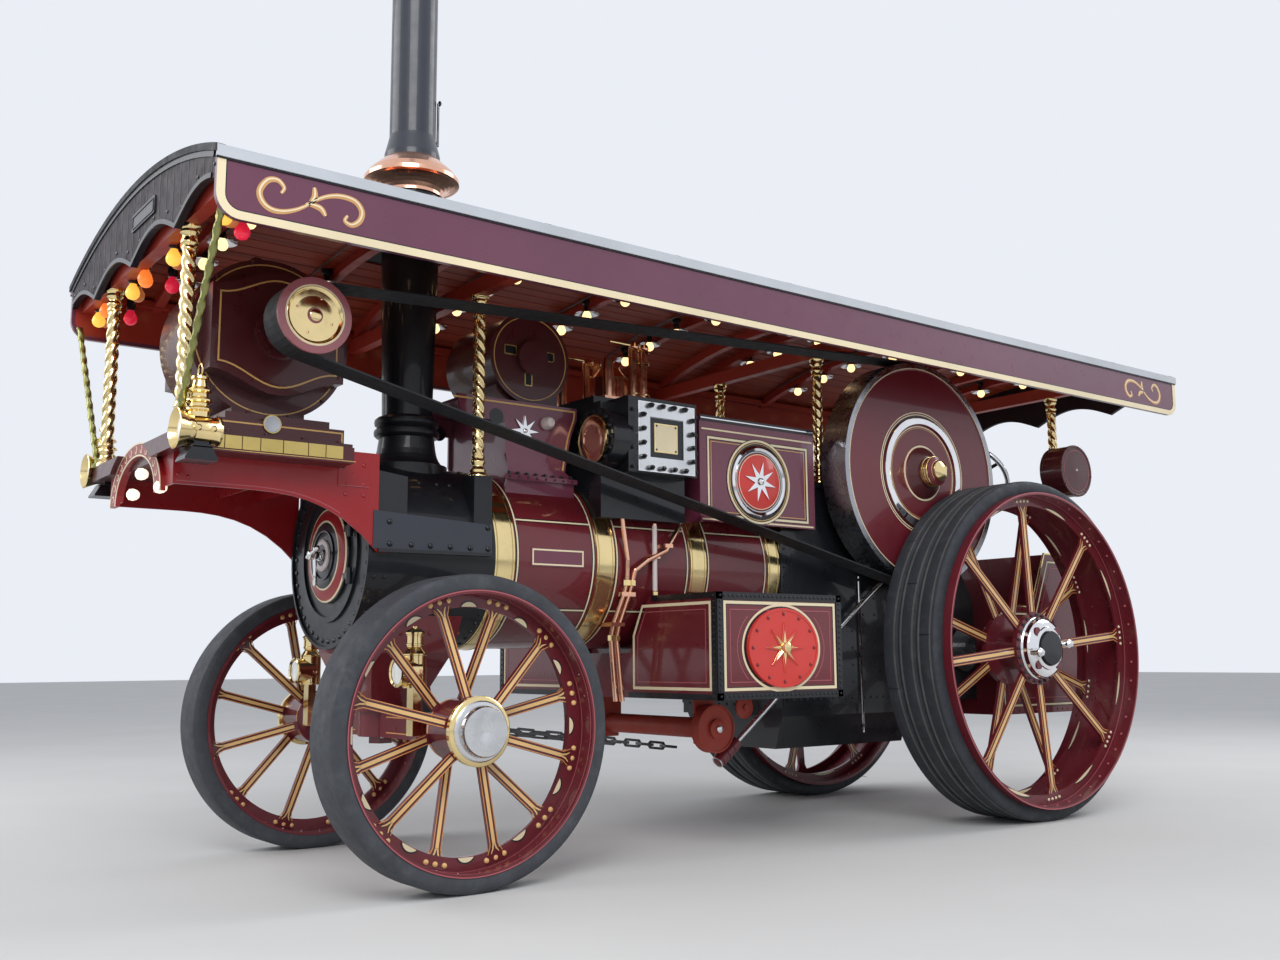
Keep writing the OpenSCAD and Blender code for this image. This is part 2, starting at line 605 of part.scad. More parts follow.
// Cylinder block, saddled on the barrel
block_rear = block_front - block_len;
block_low = 1700;
cyl_y = 330;
cover_y = 455;
end_cover_r = 168;
cyl_z = crank_z + 30;
chest_face = 600;
module cylinder_block() color([0.1, 0.11, 0.13]) placed() difference() {
    union() {
        block([block_rear, -480, block_low], [block_front, 480, cyl_z + 190]);
        block([block_rear + 60, -330, cyl_z + 190], [block_front - 60, 330, cyl_z + 250]);
        both_sides() {
            block([block_rear + 10, 400, cyl_z - 190], [block_front - 90, chest_face, cyl_z + 210]);
            translate([block_front - 100, cover_y, cyl_z - 15]) along_x() cylinder(r = end_cover_r - 8, h = 101);
            translate([block_front, cover_y, cyl_z - 15]) along_x() cylinder(r = end_cover_r, h = 16);
            translate([block_front + 15, cover_y, cyl_z - 15]) along_x() cylinder(r = end_cover_r - 38, h = 12);
            translate([block_rear - 40, cyl_y, cyl_z]) along_x() cylinder(r = 150, h = 50);
        }
    }
    boiler_room(barrel_r);
    translate([band_x[1] - 2, 0, boiler_z]) along_x() cylinder(r = barrel_r + 6, h = band_w + 4, $fn = 240);
}

// Steam chest covers: a studded frame round a sunk plate
cover_half = 185;
cover_rim = 78;
module chest_covers() color([0.72, 0.72, 0.74]) placed() both_sides() difference() {
    block([block_rear + 40, chest_face, cyl_z - cover_half], [block_front - 140, chest_face + 20, cyl_z + cover_half]);
    block([block_rear + 40 + cover_rim, chest_face + 6, cyl_z - cover_half + cover_rim],
        [block_front - 140 - cover_rim, chest_face + 21, cyl_z + cover_half - cover_rim]);
}

fitting_z = cyl_z + 250;
module steam_fittings() color([0.74, 0.42, 0.24]) placed() {
    translate([block_rear + 160, 0, fitting_z]) cylinder(r = 110, h = 190);
    translate([block_rear + 160, 0, fitting_z + 190]) cylinder(r1 = 110, r2 = 60, h = 60);
    for (x = [block_rear + 90, block_rear + 160], y = [-230, 230])
        translate([x, y, fitting_z]) cylinder(r = 24, h = 330);
    for (y = [-230, 230]) translate([block_rear + 330, y, fitting_z]) cylinder(r = 30, h = 250);
    block([block_rear + 60, -270, fitting_z], [block_rear + 380, 270, fitting_z + 30]);
}

// Pipes down the left side, from under the cylinder block and from the motion to below the barrel
pipe_r = 13;
pipe_runs = [
    [[2692, 463, block_low + 10], [2664, 472, 1485], [2662, 462, 1366], [2668, 446, 1310], [2703, 398, 1153],
        [2700, 372, 1082], [2664, 362, 756]],
    [[2290, 467, block_low + 10], [2420, 490, 1545], [2536, 480, 1490], [2616, 474, 1433], [2628, 462, 1366], [2634, 446, 1310],
        [2666, 398, 1153], [2664, 372, 1082], [2622, 362, 755]],
    [[2482, 470, 1685], [2482, 470, 1319]]];
module pipe_run(points) for (i = [0:len(points) - 2]) {
    bar(points[i], points[i + 1], pipe_r);
    if (i > 0) translate(points[i]) sphere(pipe_r, $fn = 16);
}
module side_pipes() color([0.62, 0.4, 0.32]) placed() difference() {
    union() {
        for (run = pipe_runs) pipe_run(run);
        block([2606, 380, 1296], [2696, 464, 1318]);
        block([2640, 300, 1142], [2728, 414, 1162]);
        block([2455, 400, 1500], [2509, 484, 1522]);
        block([2380, 400, 1560], [2430, 500, 1580]);
    }
    boiler_room(barrel_r + running);
    block([block_rear - 50, 300, block_low - running], [block_front, 600, block_low + 100]);
}

// Exciter on its bracket between the chimney and the cylinder block
exciter_x = smokebox_rear - 340;
exciter_r = 245;
exciter_seat = 2290;
exciter_rear = band_x[1] + band_w + 45;
exciter_foot = band_x[0] - 30;
exciter_front = smokebox_rear + 90;
exciter_half = 290;
exciter_low = 1700;
exciter_saddle = 1881;
exciter_waist = 55;
module exciter_side() difference() {
    polygon([[exciter_rear, exciter_low], [exciter_rear, exciter_saddle + 26],
        [exciter_rear + exciter_waist, exciter_saddle + 60], [exciter_rear + exciter_waist - 10, exciter_saddle + 130],
        [exciter_rear + 20, exciter_seat - 160], [exciter_rear - 20, exciter_seat - 60],
        [exciter_rear - 20, exciter_seat], [exciter_front + 50, exciter_seat],
        [exciter_front + 20, exciter_seat - 112], [exciter_foot, exciter_seat - 112], [exciter_foot, exciter_low]]);
    translate([exciter_foot + 235, exciter_saddle + 47]) circle(250, $fn = 96);
    translate([exciter_foot + 54, exciter_seat - 93]) circle(39, $fn = 12);
}
module exciter_bracket() color([0.36, 0.07, 0.12]) placed() difference() {
    union() {
        both_sides() {
            side_plate(exciter_half, 14) exciter_side();
            block([exciter_rear - 10, exciter_half + 13, exciter_saddle],
                [exciter_foot + 10, exciter_half + 34, exciter_saddle + 24]);
        }
        block([exciter_rear - 20, -exciter_half - 1, exciter_seat - 16], [exciter_front, exciter_half + 1, exciter_seat]);
        for (x = [exciter_rear + exciter_waist, exciter_foot - 30])
            block([x, -exciter_half - 1, exciter_low], [x + 14, exciter_half + 1, exciter_seat - 10]);
    }
    boiler_room(barrel_r);
}

module exciter() color([0.34, 0.07, 0.12]) placed() {
    translate([exciter_x, -250, exciter_seat + exciter_r + 12]) along_y() cylinder(r = exciter_r, h = 470);
    translate([exciter_x, 215, exciter_seat + exciter_r + 12]) along_y() cylinder(r = 90, h = 40);
    difference() {
        block([exciter_x - 190, -220, exciter_seat], [exciter_x + 190, 190, exciter_seat + 120]);
        translate([exciter_x, -300, exciter_seat + exciter_r + 12]) along_y() cylinder(r = exciter_r, h = 600);
    }
}

// Motion side panels, and the rods and guides between them
panel_y = 515;
panel_front = block_rear - 70;
panel_len = 880;
panel_low = 1715;
panel_h = 590;
panel_rear = panel_front - panel_len;
module motion_panels() color([0.38, 0.1, 0.16]) placed() difference() {
    union() {
        both_sides() {
            block([panel_rear, panel_y, panel_low], [panel_front, panel_y + 14, panel_low + panel_h]);
            block([panel_rear, panel_y - 60, panel_low + panel_h - 14], [panel_front, panel_y + 1, panel_low + panel_h]);
            for (x = [panel_front - 60, panel_rear])
                block([x, firebox_w / 2 - 60, panel_low], [x + 60, panel_y + 1, panel_low + panel_h]);
        }
        block([panel_front - 60, -firebox_w / 2, panel_low], [panel_front - 46, firebox_w / 2, panel_low + 200]);
    }
    boiler_room(barrel_r + 6);
}

module motion_rods() color([0.7, 0.7, 0.72]) placed() both_sides() {
    guide_rear = block_rear - 560;
    for (z = [-80, 65]) block([guide_rear, cyl_y - 30, cyl_z + z], [block_rear - 40, cyl_y + 30, cyl_z + z + 16]);
    block([guide_rear, cyl_y - 30, cyl_z - 80], [guide_rear + 16, cyl_y + 30, cyl_z + 81]);
    block([guide_rear + 200, cyl_y - 26, cyl_z - 64], [guide_rear + 320, cyl_y + 26, cyl_z + 65]);
    translate([guide_rear + 310, cyl_y, cyl_z]) along_x() cylinder(r = 22, h = 210);
}

throw = 85;
web_r_crank = 150;
module crankshaft() color([0.66, 0.66, 0.68]) placed() translate([crank_x, 0, crank_z]) {
    translate([0, -600, 0]) along_y() cylinder(r = crank_r, h = 600 + flywheel_y - 20);
    both_sides() for (y = [cyl_y - 75, cyl_y + 30]) translate([0, y, 0]) along_y() cylinder(r = web_r_crank, h = 40);
    translate([0, -600, 0]) along_y() cylinder(r = 130, h = 90);
}

module flywheel() color([0.36, 0.07, 0.12]) placed() translate([crank_x, 0, crank_z]) along_y() rotate_extrude() {
    far = flywheel_y - flywheel_w;
    polygon([[crank_r, far + 20], [130, far + 20], [150, flywheel_y - 34], [300, flywheel_y - 24],
        [flywheel_r - 60, flywheel_y - 24], [flywheel_r - 50, far], [flywheel_r, far], [flywheel_r, flywheel_y],
        [flywheel_r - 40, flywheel_y], [flywheel_r - 46, flywheel_y - 6], [352, flywheel_y - 6], [346, flywheel_y + 6],
        [306, flywheel_y + 6], [300, flywheel_y - 6], [165, flywheel_y - 6], [155, flywheel_y + 10],
        [110, flywheel_y + 40], [88, flywheel_y + 46], [88, flywheel_y + 110], [62, flywheel_y + 120],
        [62, flywheel_y + 140], [0, flywheel_y + 150], [0, flywheel_y - 20], [crank_r, flywheel_y - 20]]);
}

// Driving belt, a closed loop round the flywheel and the dynamo pulley
function arc_points(c, r, from, to, steps) = [for (i = [0:steps])
    let (a = from + (to - from) * i / steps, k = r / cos((to - from) / steps / 2)) [c[0] + k * cos(a), c[1] + k * sin(a)]];
function belt_loop(r1, r2) =
    let (c1 = [crank_x, crank_z], c2 = [dynamo_x, dynamo_z], d = norm(c2 - c1),
        lean = atan2(c2[1] - c1[1], c2[0] - c1[0]), side = acos((r1 - r2) / d))
    concat(arc_points(c1, r1, lean + side, lean + 360 - side, 40), arc_points(c2, r2, lean - side, lean + side, 14));
module drive_belt() color([0.08, 0.08, 0.09]) placed() side_plate(belt_mid_y - belt_w / 2, belt_w) difference() {
    polygon(belt_loop(flywheel_r + 0.5 + belt_t, pulley_r - 12 + 0.5 + belt_t));
    polygon(belt_loop(flywheel_r + 0.5, pulley_r - 12 + 0.5));
}

// Belly tank under the barrel
module belly_tank() color([0.36, 0.07, 0.12]) placed() difference() {
    union() {
        cross_plate(tank_rear, tank_len) polygon([[-tank_w / 2, tank_z], [tank_w / 2, tank_z],
            [tank_w / 2, tank_z + tank_h], [480, tank_z + tank_h], [310, tank_z + 235], [-310, tank_z + 235],
            [-480, tank_z + tank_h], [-tank_w / 2, tank_z + tank_h]]);
        for (x = [tank_rear + 120, tank_rear + tank_len - 200])
            block([x, -220, tank_z + 230], [x + 80, 220, boiler_z - barrel_r + 70]);
    }
    boiler_room(barrel_r);
}

// Oval covers on the tank's sides, each with a star and a boss
disc_half_x = 244;
disc_half_z = 201;
disc_t = 18;
module oval(a, b) polygon([for (i = [0:47]) [a * cos(i * 7.5), b * sin(i * 7.5)]]);
module star_outline(r_out, r_in, points) polygon([for (i = [0:2 * points - 1])
    let (r = i % 2 == 0 ? r_out : r_in, a = 90 + i * 180 / points) [r * cos(a), r * sin(a)]]);
module tank_discs() color([0.8, 0.12, 0.12]) placed() both_sides()
    translate([tank_rear + tank_len / 2, tank_w / 2, tank_z + tank_h / 2 - 10]) {
        side_plate(0, disc_t) oval(disc_half_x, disc_half_z);
        side_plate(disc_t - 1, 9) star_outline(128, 36, 8);
        translate([0, disc_t + 6, 0]) along_y() cylinder(r1 = 26, r2 = 14, h = 16);
    }

// Tender with its water tank, coal space and drawbar
tender_floor = tender_z + 260;
bunker_front = -820;
module tender() color([0.36, 0.07, 0.12]) placed() {
    top_z = tender_z + tender_h;
    difference() {
        side_plate(-tender_w / 2, tender_w) polygon([[-tender_rear + 90, tender_z], [-tender_rear, tender_z + 120],
            [-tender_rear, top_z], [bunker_front + 60, top_z], [bunker_front + 220, tender_z + 700],
            [-tender_front, tender_z + 700], [-tender_front, tender_z]]);
        block([-tender_rear + plate_t, -tender_w / 2 + plate_t, tender_floor + 160],
            [bunker_front, tender_w / 2 - plate_t, top_z + 1]);
        block([bunker_front + plate_t, -tender_w / 2 + plate_t, tender_floor],
            [-tender_front - plate_t, tender_w / 2 - plate_t, top_z + 1]);
        block([-tender_front - plate_t - 1, -firebox_w / 2 + 30, tender_floor + 10],
            [-tender_front + 1, firebox_w / 2 - 30, top_z + 1]);
    }
    both_sides() block([pillar_x[3] - 50, pillar_y[3] - 50, top_z - 30],
        [pillar_x[3] + 50, tender_w / 2 - 1, top_z]);
}

module drawbar() color([0.12, 0.12, 0.13]) placed() difference() {
    union() {
        block([-tender_rear - 14, -180, tender_z + 130], [-tender_rear, 180, tender_z + 330]);
        for (z = [tender_z + 170, tender_z + 262]) {
            block([-tender_rear - 110, -60, z], [-tender_rear - 10, 60, z + 28]);
            translate([-tender_rear - 110, 0, z]) cylinder(r = 60, h = 28);
        }
    }
    translate([-tender_rear - 110, 0, tender_z]) cylinder(r = drawbar_pin_r, h = 400);
}

// Final drive gear, on the inner end of the right rear hub
gear_r = 564;
gear_w = 60;
gear_teeth = 60;
tooth_h = 44;
gear_y = tender_w / 2 + 10;
module gear_outline() polygon([for (i = [0:gear_teeth - 1])
    for (p = [[gear_r - tooth_h, -0.27], [gear_r, -0.1], [gear_r, 0.1], [gear_r - tooth_h, 0.27]])
        let (a = (i + p[1]) * 360 / gear_teeth) [p[0] * cos(a), p[0] * sin(a)]]);

module final_gear() color([0.2, 0.2, 0.21]) placed() difference() {
    union() {
        side_plate(-gear_y - gear_w, gear_w) translate([0, rear_z]) difference() {
            gear_outline();
            for (i = [0:5]) rotate(i * 60) translate([315, 0]) circle(110);
        }
        translate([0, rear_hub_in - rear_track / 2, rear_z]) along_y()
            cylinder(r = 130, h = rear_track / 2 - rear_hub_in - gear_y);
    }
    translate([0, -1000, rear_z]) along_y() cylinder(r = rear_axle_r + running, h = 1000);
}

// Round drum beside the left rear pillar
module rear_drum() color([0.34, 0.07, 0.12]) placed() translate([pillar_x[3] + 40, pillar_y[3] + pillar_r, 2230]) {
    along_y() rotate_extrude() polygon([[0, 0], [175, 0], [175, 160], [162, 170], [0, 176]]);
}

// Canopy
roof_half = canopy_w / 2 + 10;
roof_edge_z = board_z + board_h;
roof_radius = (pow(roof_half, 2) + pow(roof_rise, 2)) / (2 * roof_rise);
roof_centre_z = roof_edge_z + roof_rise - roof_radius;
canopy_len = canopy_front + canopy_rear;
rib_h = 60;
rib_count = 9;
rib_inset = 434;
beam_z = 2775;
beam_h = 80;
beam_w = 60;
pillar_x = [5005, 3520, 1200, -1000];
pillar_y = [570, 395, firebox_w / 2 + 5, tender_w / 2 - 46];
pillar_foot = [platform_z, 1860, 2010, tender_z + tender_h];

function roof_z(y) = roof_centre_z + sqrt(pow(roof_radius, 2) - y * y);

module canopy_roof() color([0.2, 0.2, 0.22]) placed() difference() {
    intersection() {
        translate([-canopy_rear, 0, roof_centre_z]) along_x() cylinder(r = roof_radius + roof_t, h = canopy_len);
        block([-canopy_rear, -roof_half, roof_edge_z - 200], [canopy_front, roof_half, roof_edge_z + 2 * roof_rise]);
    }
    translate([-canopy_rear - 1, 0, roof_centre_z]) along_x() cylinder(r = roof_radius, h = canopy_len + 2);
    translate([chimney_x, 0, 0]) cylinder(r = stack_top_r + 14, h = 4000);
}

module rib() polygon(concat(
    [for (i = [-6:6]) let (y = i * inner_half / 6) [y, roof_z(y) - 0.3]],
    [for (i = [6:-1:-6]) let (y = i * inner_half / 6) [y, roof_z(y) - rib_h]]));
inner_half = canopy_w / 2 - board_t;

module canopy_frame() color([0.55, 0.12, 0.1]) placed() {
    for (i = [0:rib_count - 1]) let (x = rib_inset - canopy_rear + i * (canopy_len - 2 * rib_inset) / (rib_count - 1))
        cross_plate(x - 25, 50) rib();
    for (x = pillar_x) {
        cross_plate(x - 25, 50) rib();
        block([x - beam_w / 2, -inner_half, beam_z], [x + beam_w / 2, inner_half, beam_z + beam_h]);
    }
    both_sides() block([-canopy_rear + 60, inner_half - 55, beam_z + beam_h - 1],
        [canopy_front - 60, inner_half, roof_edge_z]);
}

module board_outline(round_r) {
    x0 = -canopy_rear + 10;
    x1 = canopy_front - 12;
    translate([x0, board_z + round_r]) square([x1 - x0, board_h - round_r]);
    translate([x0 + round_r, board_z]) square([x1 - x0 - 2 * round_r, board_h]);
    for (x = [x0 + round_r, x1 - round_r]) translate([x, board_z + round_r]) circle(round_r);
}

module side_boards() color([0.36, 0.1, 0.17]) placed() both_sides()
    side_plate(inner_half, board_t) board_outline(95);

// End boards, whose lower edge is a row of arches with a cusp at the middle
end_arch = 630;
end_cusp = 89;
end_rise = 90;
function end_low(y) = board_z + end_cusp + end_rise * abs(sin(y * 180 / end_arch));
module end_board() polygon(concat(
    [for (i = [8:-1:-8]) let (y = i * inner_half / 8) [y, roof_z(y) - 0.3]],
    [[-inner_half, end_low(inner_half)]],
    [for (i = [-20:20]) let (y = i * end_arch / 12) [y, end_low(y)]],
    [[inner_half, end_low(inner_half)]]));
module end_boards() color([0.1, 0.1, 0.11]) placed() {
    cross_plate(canopy_front - 12 - board_t, board_t) end_board();
    cross_plate(-canopy_rear + 12, board_t) end_board();
}

// A twisted brass pillar between its foot and the canopy's beam
module twisted_pillar(i) translate([pillar_x[i], pillar_y[i], pillar_foot[i]]) {
    h = beam_z - pillar_foot[i];
    cylinder(r = pillar_r + 16, h = 26);
    cylinder(r = pillar_r + 4, h = 90);
    translate([0, 0, 88]) linear_extrude(h - 176, twist = -(h - 176) * 2, slices = ceil((h - 176) / 18), segments = 4)
        circle(r = pillar_r, $fn = 4);
    translate([0, 0, h - 90]) cylinder(r = pillar_r + 4, h = 90);
    translate([0, 0, h - 26]) cylinder(r = pillar_r + 16, h = 26);
}
module front_pillars() color([0.85, 0.7, 0.3]) placed() both_sides() twisted_pillar(0);
module middle_pillars() color([0.85, 0.7, 0.3]) placed() both_sides() twisted_pillar(1);
module motion_pillars() color([0.85, 0.7, 0.3]) placed() both_sides() twisted_pillar(2);
module rear_pillars() color([0.85, 0.7, 0.3]) placed() both_sides() twisted_pillar(3);

boiler_barrel();
boiler_bands();
smokebox();
smokebox_door();
firebox();
hornplates();
chimney();
chimney_cap();
chimney_extension();
dynamo_bracket();
dynamo_platform();
dynamo_base();
dynamo_frame();
dynamo_pulley();
front_lamps();
cylinder_block();
chest_covers();
steam_fittings();
side_pipes();
exciter_bracket();
exciter();
motion_panels();
motion_rods();
crankshaft();
flywheel();
drive_belt();
belly_tank();
tank_discs();
steering_shaft();
chain_barrel();
tender();
rear_drum();
drawbar();
rear_axle();
final_gear();
rear_wheel_left();
rear_wheel_right();
rear_tyre_left();
rear_tyre_right();
perch_bracket();
front_axle();
axle_lamps();
steering_chain_left();
steering_chain_right();
front_wheel_left();
front_wheel_right();
front_tyre_left();
front_tyre_right();
canopy_roof();
canopy_frame();
side_boards();
end_boards();
front_pillars();
middle_pillars();
motion_pillars();
rear_pillars();
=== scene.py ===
"""Looks of the road locomotive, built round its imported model.

Metres. X points forward, Y to the engine's left, Z up from the road. Places written as at(x, y, z) count
x from the rear axle, as the model's own sizes do.
"""
import math

import bmesh
import bpy
from mathutils import Matrix, Vector


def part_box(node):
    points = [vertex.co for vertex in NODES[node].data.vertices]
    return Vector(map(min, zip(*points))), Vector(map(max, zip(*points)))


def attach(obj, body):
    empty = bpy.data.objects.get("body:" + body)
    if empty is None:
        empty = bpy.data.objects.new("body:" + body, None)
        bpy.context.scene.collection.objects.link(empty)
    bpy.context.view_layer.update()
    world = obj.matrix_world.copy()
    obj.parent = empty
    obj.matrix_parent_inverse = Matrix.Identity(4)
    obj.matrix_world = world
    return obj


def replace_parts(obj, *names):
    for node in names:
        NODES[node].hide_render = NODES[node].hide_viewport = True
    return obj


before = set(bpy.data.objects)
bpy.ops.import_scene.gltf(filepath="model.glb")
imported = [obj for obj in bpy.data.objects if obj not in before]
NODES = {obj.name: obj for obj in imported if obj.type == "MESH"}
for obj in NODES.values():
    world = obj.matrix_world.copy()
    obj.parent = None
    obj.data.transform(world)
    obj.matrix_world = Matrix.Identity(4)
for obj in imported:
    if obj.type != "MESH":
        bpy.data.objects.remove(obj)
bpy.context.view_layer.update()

X, Y, Z = Vector((1, 0, 0)), Vector((0, 1, 0)), Vector((0, 0, 1))


def middle(node):
    """Middle of a node's box."""
    low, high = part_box(node)
    return (low + high) / 2


AXLE = middle("rear_axle")


def at(x, y, z):
    """A point written from the rear axle."""
    return Vector((x + AXLE.x, y, z))


# Materials


class Nodes:
    """A material's node tree, with short calls for what the recipes below use."""

    def __init__(self, name):
        self.material = bpy.data.materials.new(name)
        self.material.use_nodes = True
        self.tree = self.material.node_tree
        self.shader = self.tree.nodes["Principled BSDF"]
        self.place = self.add("ShaderNodeTexCoord").outputs["Object"]

    def add(self, kind, **values):
        """A node, with its sockets or settings given by name."""
        node = self.tree.nodes.new(kind)
        for key, value in values.items():
            if key in node.inputs:
                node.inputs[key].default_value = value
            else:
                setattr(node, key, value)
        return node

    def link(self, a, b):
        self.tree.links.new(a, b)

    def noise(self, scale, detail=4.0, rough=0.55, stretch=None):
        """Noise on the piece's own coordinates."""
        node = self.add("ShaderNodeTexNoise", Scale=scale, Detail=detail, Roughness=rough)
        place = self.place
        if stretch:
            mapping = self.add("ShaderNodeMapping", Scale=stretch)
            self.link(place, mapping.inputs["Vector"])
            place = mapping.outputs["Vector"]
        self.link(place, node.inputs["Vector"])
        return node.outputs["Fac"]

    def ramp(self, value, low, high, low_color, high_color):
        """A colour that follows a value."""
        node = self.add("ShaderNodeValToRGB")
        node.color_ramp.elements[0].position = low
        node.color_ramp.elements[0].color = (*low_color, 1)
        node.color_ramp.elements[1].position = high
        node.color_ramp.elements[1].color = (*high_color, 1)
        self.link(value, node.inputs["Fac"])
        return node.outputs["Color"]

    def mix(self, fac, a, b):
        """Two colours mixed; each is a link or a plain colour."""
        node = self.add("ShaderNodeMix", data_type="RGBA")
        self.link(fac, node.inputs["Factor"])
        for socket, value in ((node.inputs[6], a), (node.inputs[7], b)):
            if isinstance(value, tuple):
                socket.default_value = (*value, 1)
            else:
                self.link(value, socket)
        return node.outputs[2]

    def range(self, value, low, high, to_low, to_high):
        """A value from one range spread over another."""
        node = self.add("ShaderNodeMapRange")
        self.link(value, node.inputs["Value"])
        for key, number in (("From Min", low), ("From Max", high), ("To Min", to_low), ("To Max", to_high)):
            node.inputs[key].default_value = number
        return node.outputs["Result"]

    def feed(self, socket, value):
        """Link a value to one of the shader's own sockets."""
        self.link(value, self.shader.inputs[socket])

    def bump(self, height, strength, distance=0.002):
        """Fine relief on the shader's normal."""
        node = self.add("ShaderNodeBump", Strength=strength, Distance=distance)
        self.link(height, node.inputs["Height"])
        self.feed("Normal", node.outputs["Normal"])

    def set(self, **values):
        """Uniform values on the shader's own sockets."""
        for key, value in values.items():
            self.shader.inputs[key.replace("_", " ")].default_value = value


def tone(color, k):
    """A colour made lighter or darker."""
    return tuple(min(1.0, c * k) for c in color)


def paint(name, color, rough=0.30, coat=0.5, dirt=(0.16, 0.13, 0.10), dirt_share=0.07, specular=0.35):
    """Coach paint under varnish, with faint uneven tone and a thin film of road dust."""
    n = Nodes(name)
    base = n.ramp(n.noise(1.6), 0.35, 0.7, tone(color, 0.90), tone(color, 1.08))
    dust = n.range(n.noise(4.5, 9.0, 0.6), 0.35, 0.85, 0.0, dirt_share)
    n.feed("Base Color", n.mix(dust, base, dirt))
    n.feed("Roughness", n.range(n.noise(14.0, 6.0), 0.3, 0.75, rough * 0.85, min(1.0, rough * 1.35)))
    n.set(Coat_Weight=coat, Coat_Roughness=0.06, Specular_IOR_Level=specular)
    n.bump(n.noise(90.0, 3.0), 0.03, 0.001)
    return n.material


def metal(name, color, rough=0.16, tarnish=(0.30, 0.20, 0.08), tarnish_share=0.25, bump=0.05):
    """Bright metal, with cloudy polish and some tarnish."""
    n = Nodes(name)
    base = n.ramp(n.noise(5.0), 0.3, 0.75, tone(color, 0.88), tone(color, 1.06))
    spots = n.range(n.noise(16.0, 8.0, 0.7), 0.55, 0.8, 0.0, tarnish_share)
    n.feed("Base Color", n.mix(spots, base, tarnish))
    n.feed("Roughness", n.range(n.noise(24.0, 7.0, 0.65), 0.3, 0.8, rough * 0.6, rough * 1.9))
    n.set(Metallic=1.0)
    n.bump(n.noise(60.0, 5.0), bump, 0.001)
    return n.material


def glow(name, color, strength):
    """A lit bulb."""
    n = Nodes(name)
    n.feed("Base Color", n.ramp(n.noise(30.0), 0.3, 0.7, tone(color, 0.95), color))
    n.set(Emission_Color=(*color, 1), Emission_Strength=strength, Roughness=0.12)
    return n.material


def rubber(name, color, dust, dust_low, dust_high):
    """Tyre rubber with dust rubbed into it and a fine grain."""
    n = Nodes(name)
    base = n.ramp(n.noise(6.0, 6.0), 0.3, 0.7, tone(color, 0.8), tone(color, 1.15))
    worn = n.range(n.noise(11.0, 9.0, 0.7), dust_low, dust_high, 0.0, 0.55)
    n.feed("Base Color", n.mix(worn, base, dust))
    n.feed("Roughness", n.range(n.noise(20.0), 0.3, 0.7, 0.62, 0.85))
    n.bump(n.noise(140.0, 6.0), 0.25, 0.002)
    return n.material


def boards(name, color, width):
    """Varnished boards that run along the engine, side by side across it."""
    n = Nodes(name)
    grain = n.noise(9.0, 8.0, 0.6, stretch=(0.12, 2.2, 2.2))
    base = n.ramp(grain, 0.32, 0.72, tone(color, 0.62), tone(color, 1.15))
    n.feed("Base Color", base)
    n.set(Roughness=0.5, Specular_IOR_Level=0.2)
    n.bump(grain, 0.12, width * 0.03)
    return n.material


def glass(name, color):
    """Lamp glass: clear over a bright reflector; its faint glow is painted light standing in for the reflector's
    shine.
    """
    n = Nodes(name)
    n.feed("Base Color", n.ramp(n.noise(8.0), 0.3, 0.7, tone(color, 0.94), color))
    # The emission is a painted reflection: a faint glow for the reflector's shine behind the glass.
    n.set(Roughness=0.04, Coat_Weight=1.0, Coat_Roughness=0.02, Emission_Color=(*color, 1), Emission_Strength=0.25)
    return n.material


MAROON = paint("maroon coach paint", (0.135, 0.009, 0.016), coat=0.7)
WINE = paint("wheel maroon", (0.135, 0.010, 0.019), rough=0.32)
DYNAMO = paint("dynamo brown maroon", (0.066, 0.009, 0.012), coat=0.35)
PURPLE = paint("purple maroon board", (0.128, 0.030, 0.066), coat=0.7)
PLUM = paint("plum panel", (0.146, 0.026, 0.054), coat=0.7)
PINK_MAROON = paint("pulley rim maroon", (0.330, 0.110, 0.125))
RED = paint("signal red", (0.31, 0.009, 0.013), coat=0.25)
SCARLET = paint("scarlet disc", (0.66, 0.040, 0.030), rough=0.35)
DARK_RED = paint("stud red", (0.22, 0.012, 0.012), rough=0.35)
RUST_RED = paint("worm wheel red", (0.38, 0.038, 0.02), rough=0.55, coat=0.1, dirt_share=0.2)
BLACK = paint("black enamel", (0.008, 0.009, 0.012), coat=0.42, dirt=(0.06, 0.058, 0.055), specular=0.3)
SOOT = paint("smokebox black", (0.007, 0.008, 0.011), rough=0.4, coat=0.3, dirt=(0.05, 0.048, 0.045),
             specular=0.3)
END_BOARD = paint("end board purple black", (0.013, 0.006, 0.012), rough=0.5, coat=0.0, specular=0.2)
ROOF = paint("roof canvas", (0.034, 0.036, 0.042), rough=0.7, coat=0.0, dirt=(0.11, 0.11, 0.10), dirt_share=0.4)
EDGE_GREY = paint("roof edge strip", (0.52, 0.55, 0.59), rough=0.5, coat=0.1)
# Blue-grey black of the chimney's extension; on the smokebox's arm plate it stands for a painted reflection of the
# sky.
STACK = paint("extension grey black", (0.026, 0.031, 0.045), rough=0.38, coat=0.35)
CREAM = paint("cream line", (0.84, 0.72, 0.48), rough=0.4, coat=0.3)
GOLD = paint("gold line", (0.66, 0.40, 0.13), rough=0.35, coat=0.4)
ORANGE = paint("orange gold line", (0.74, 0.33, 0.095), rough=0.35, coat=0.5)
PEACH = paint("spoke stripe", (0.82, 0.50, 0.20), rough=0.35, coat=0.5)
SCROLL = paint("scroll gold", (0.60, 0.32, 0.12), rough=0.4, coat=0.5)
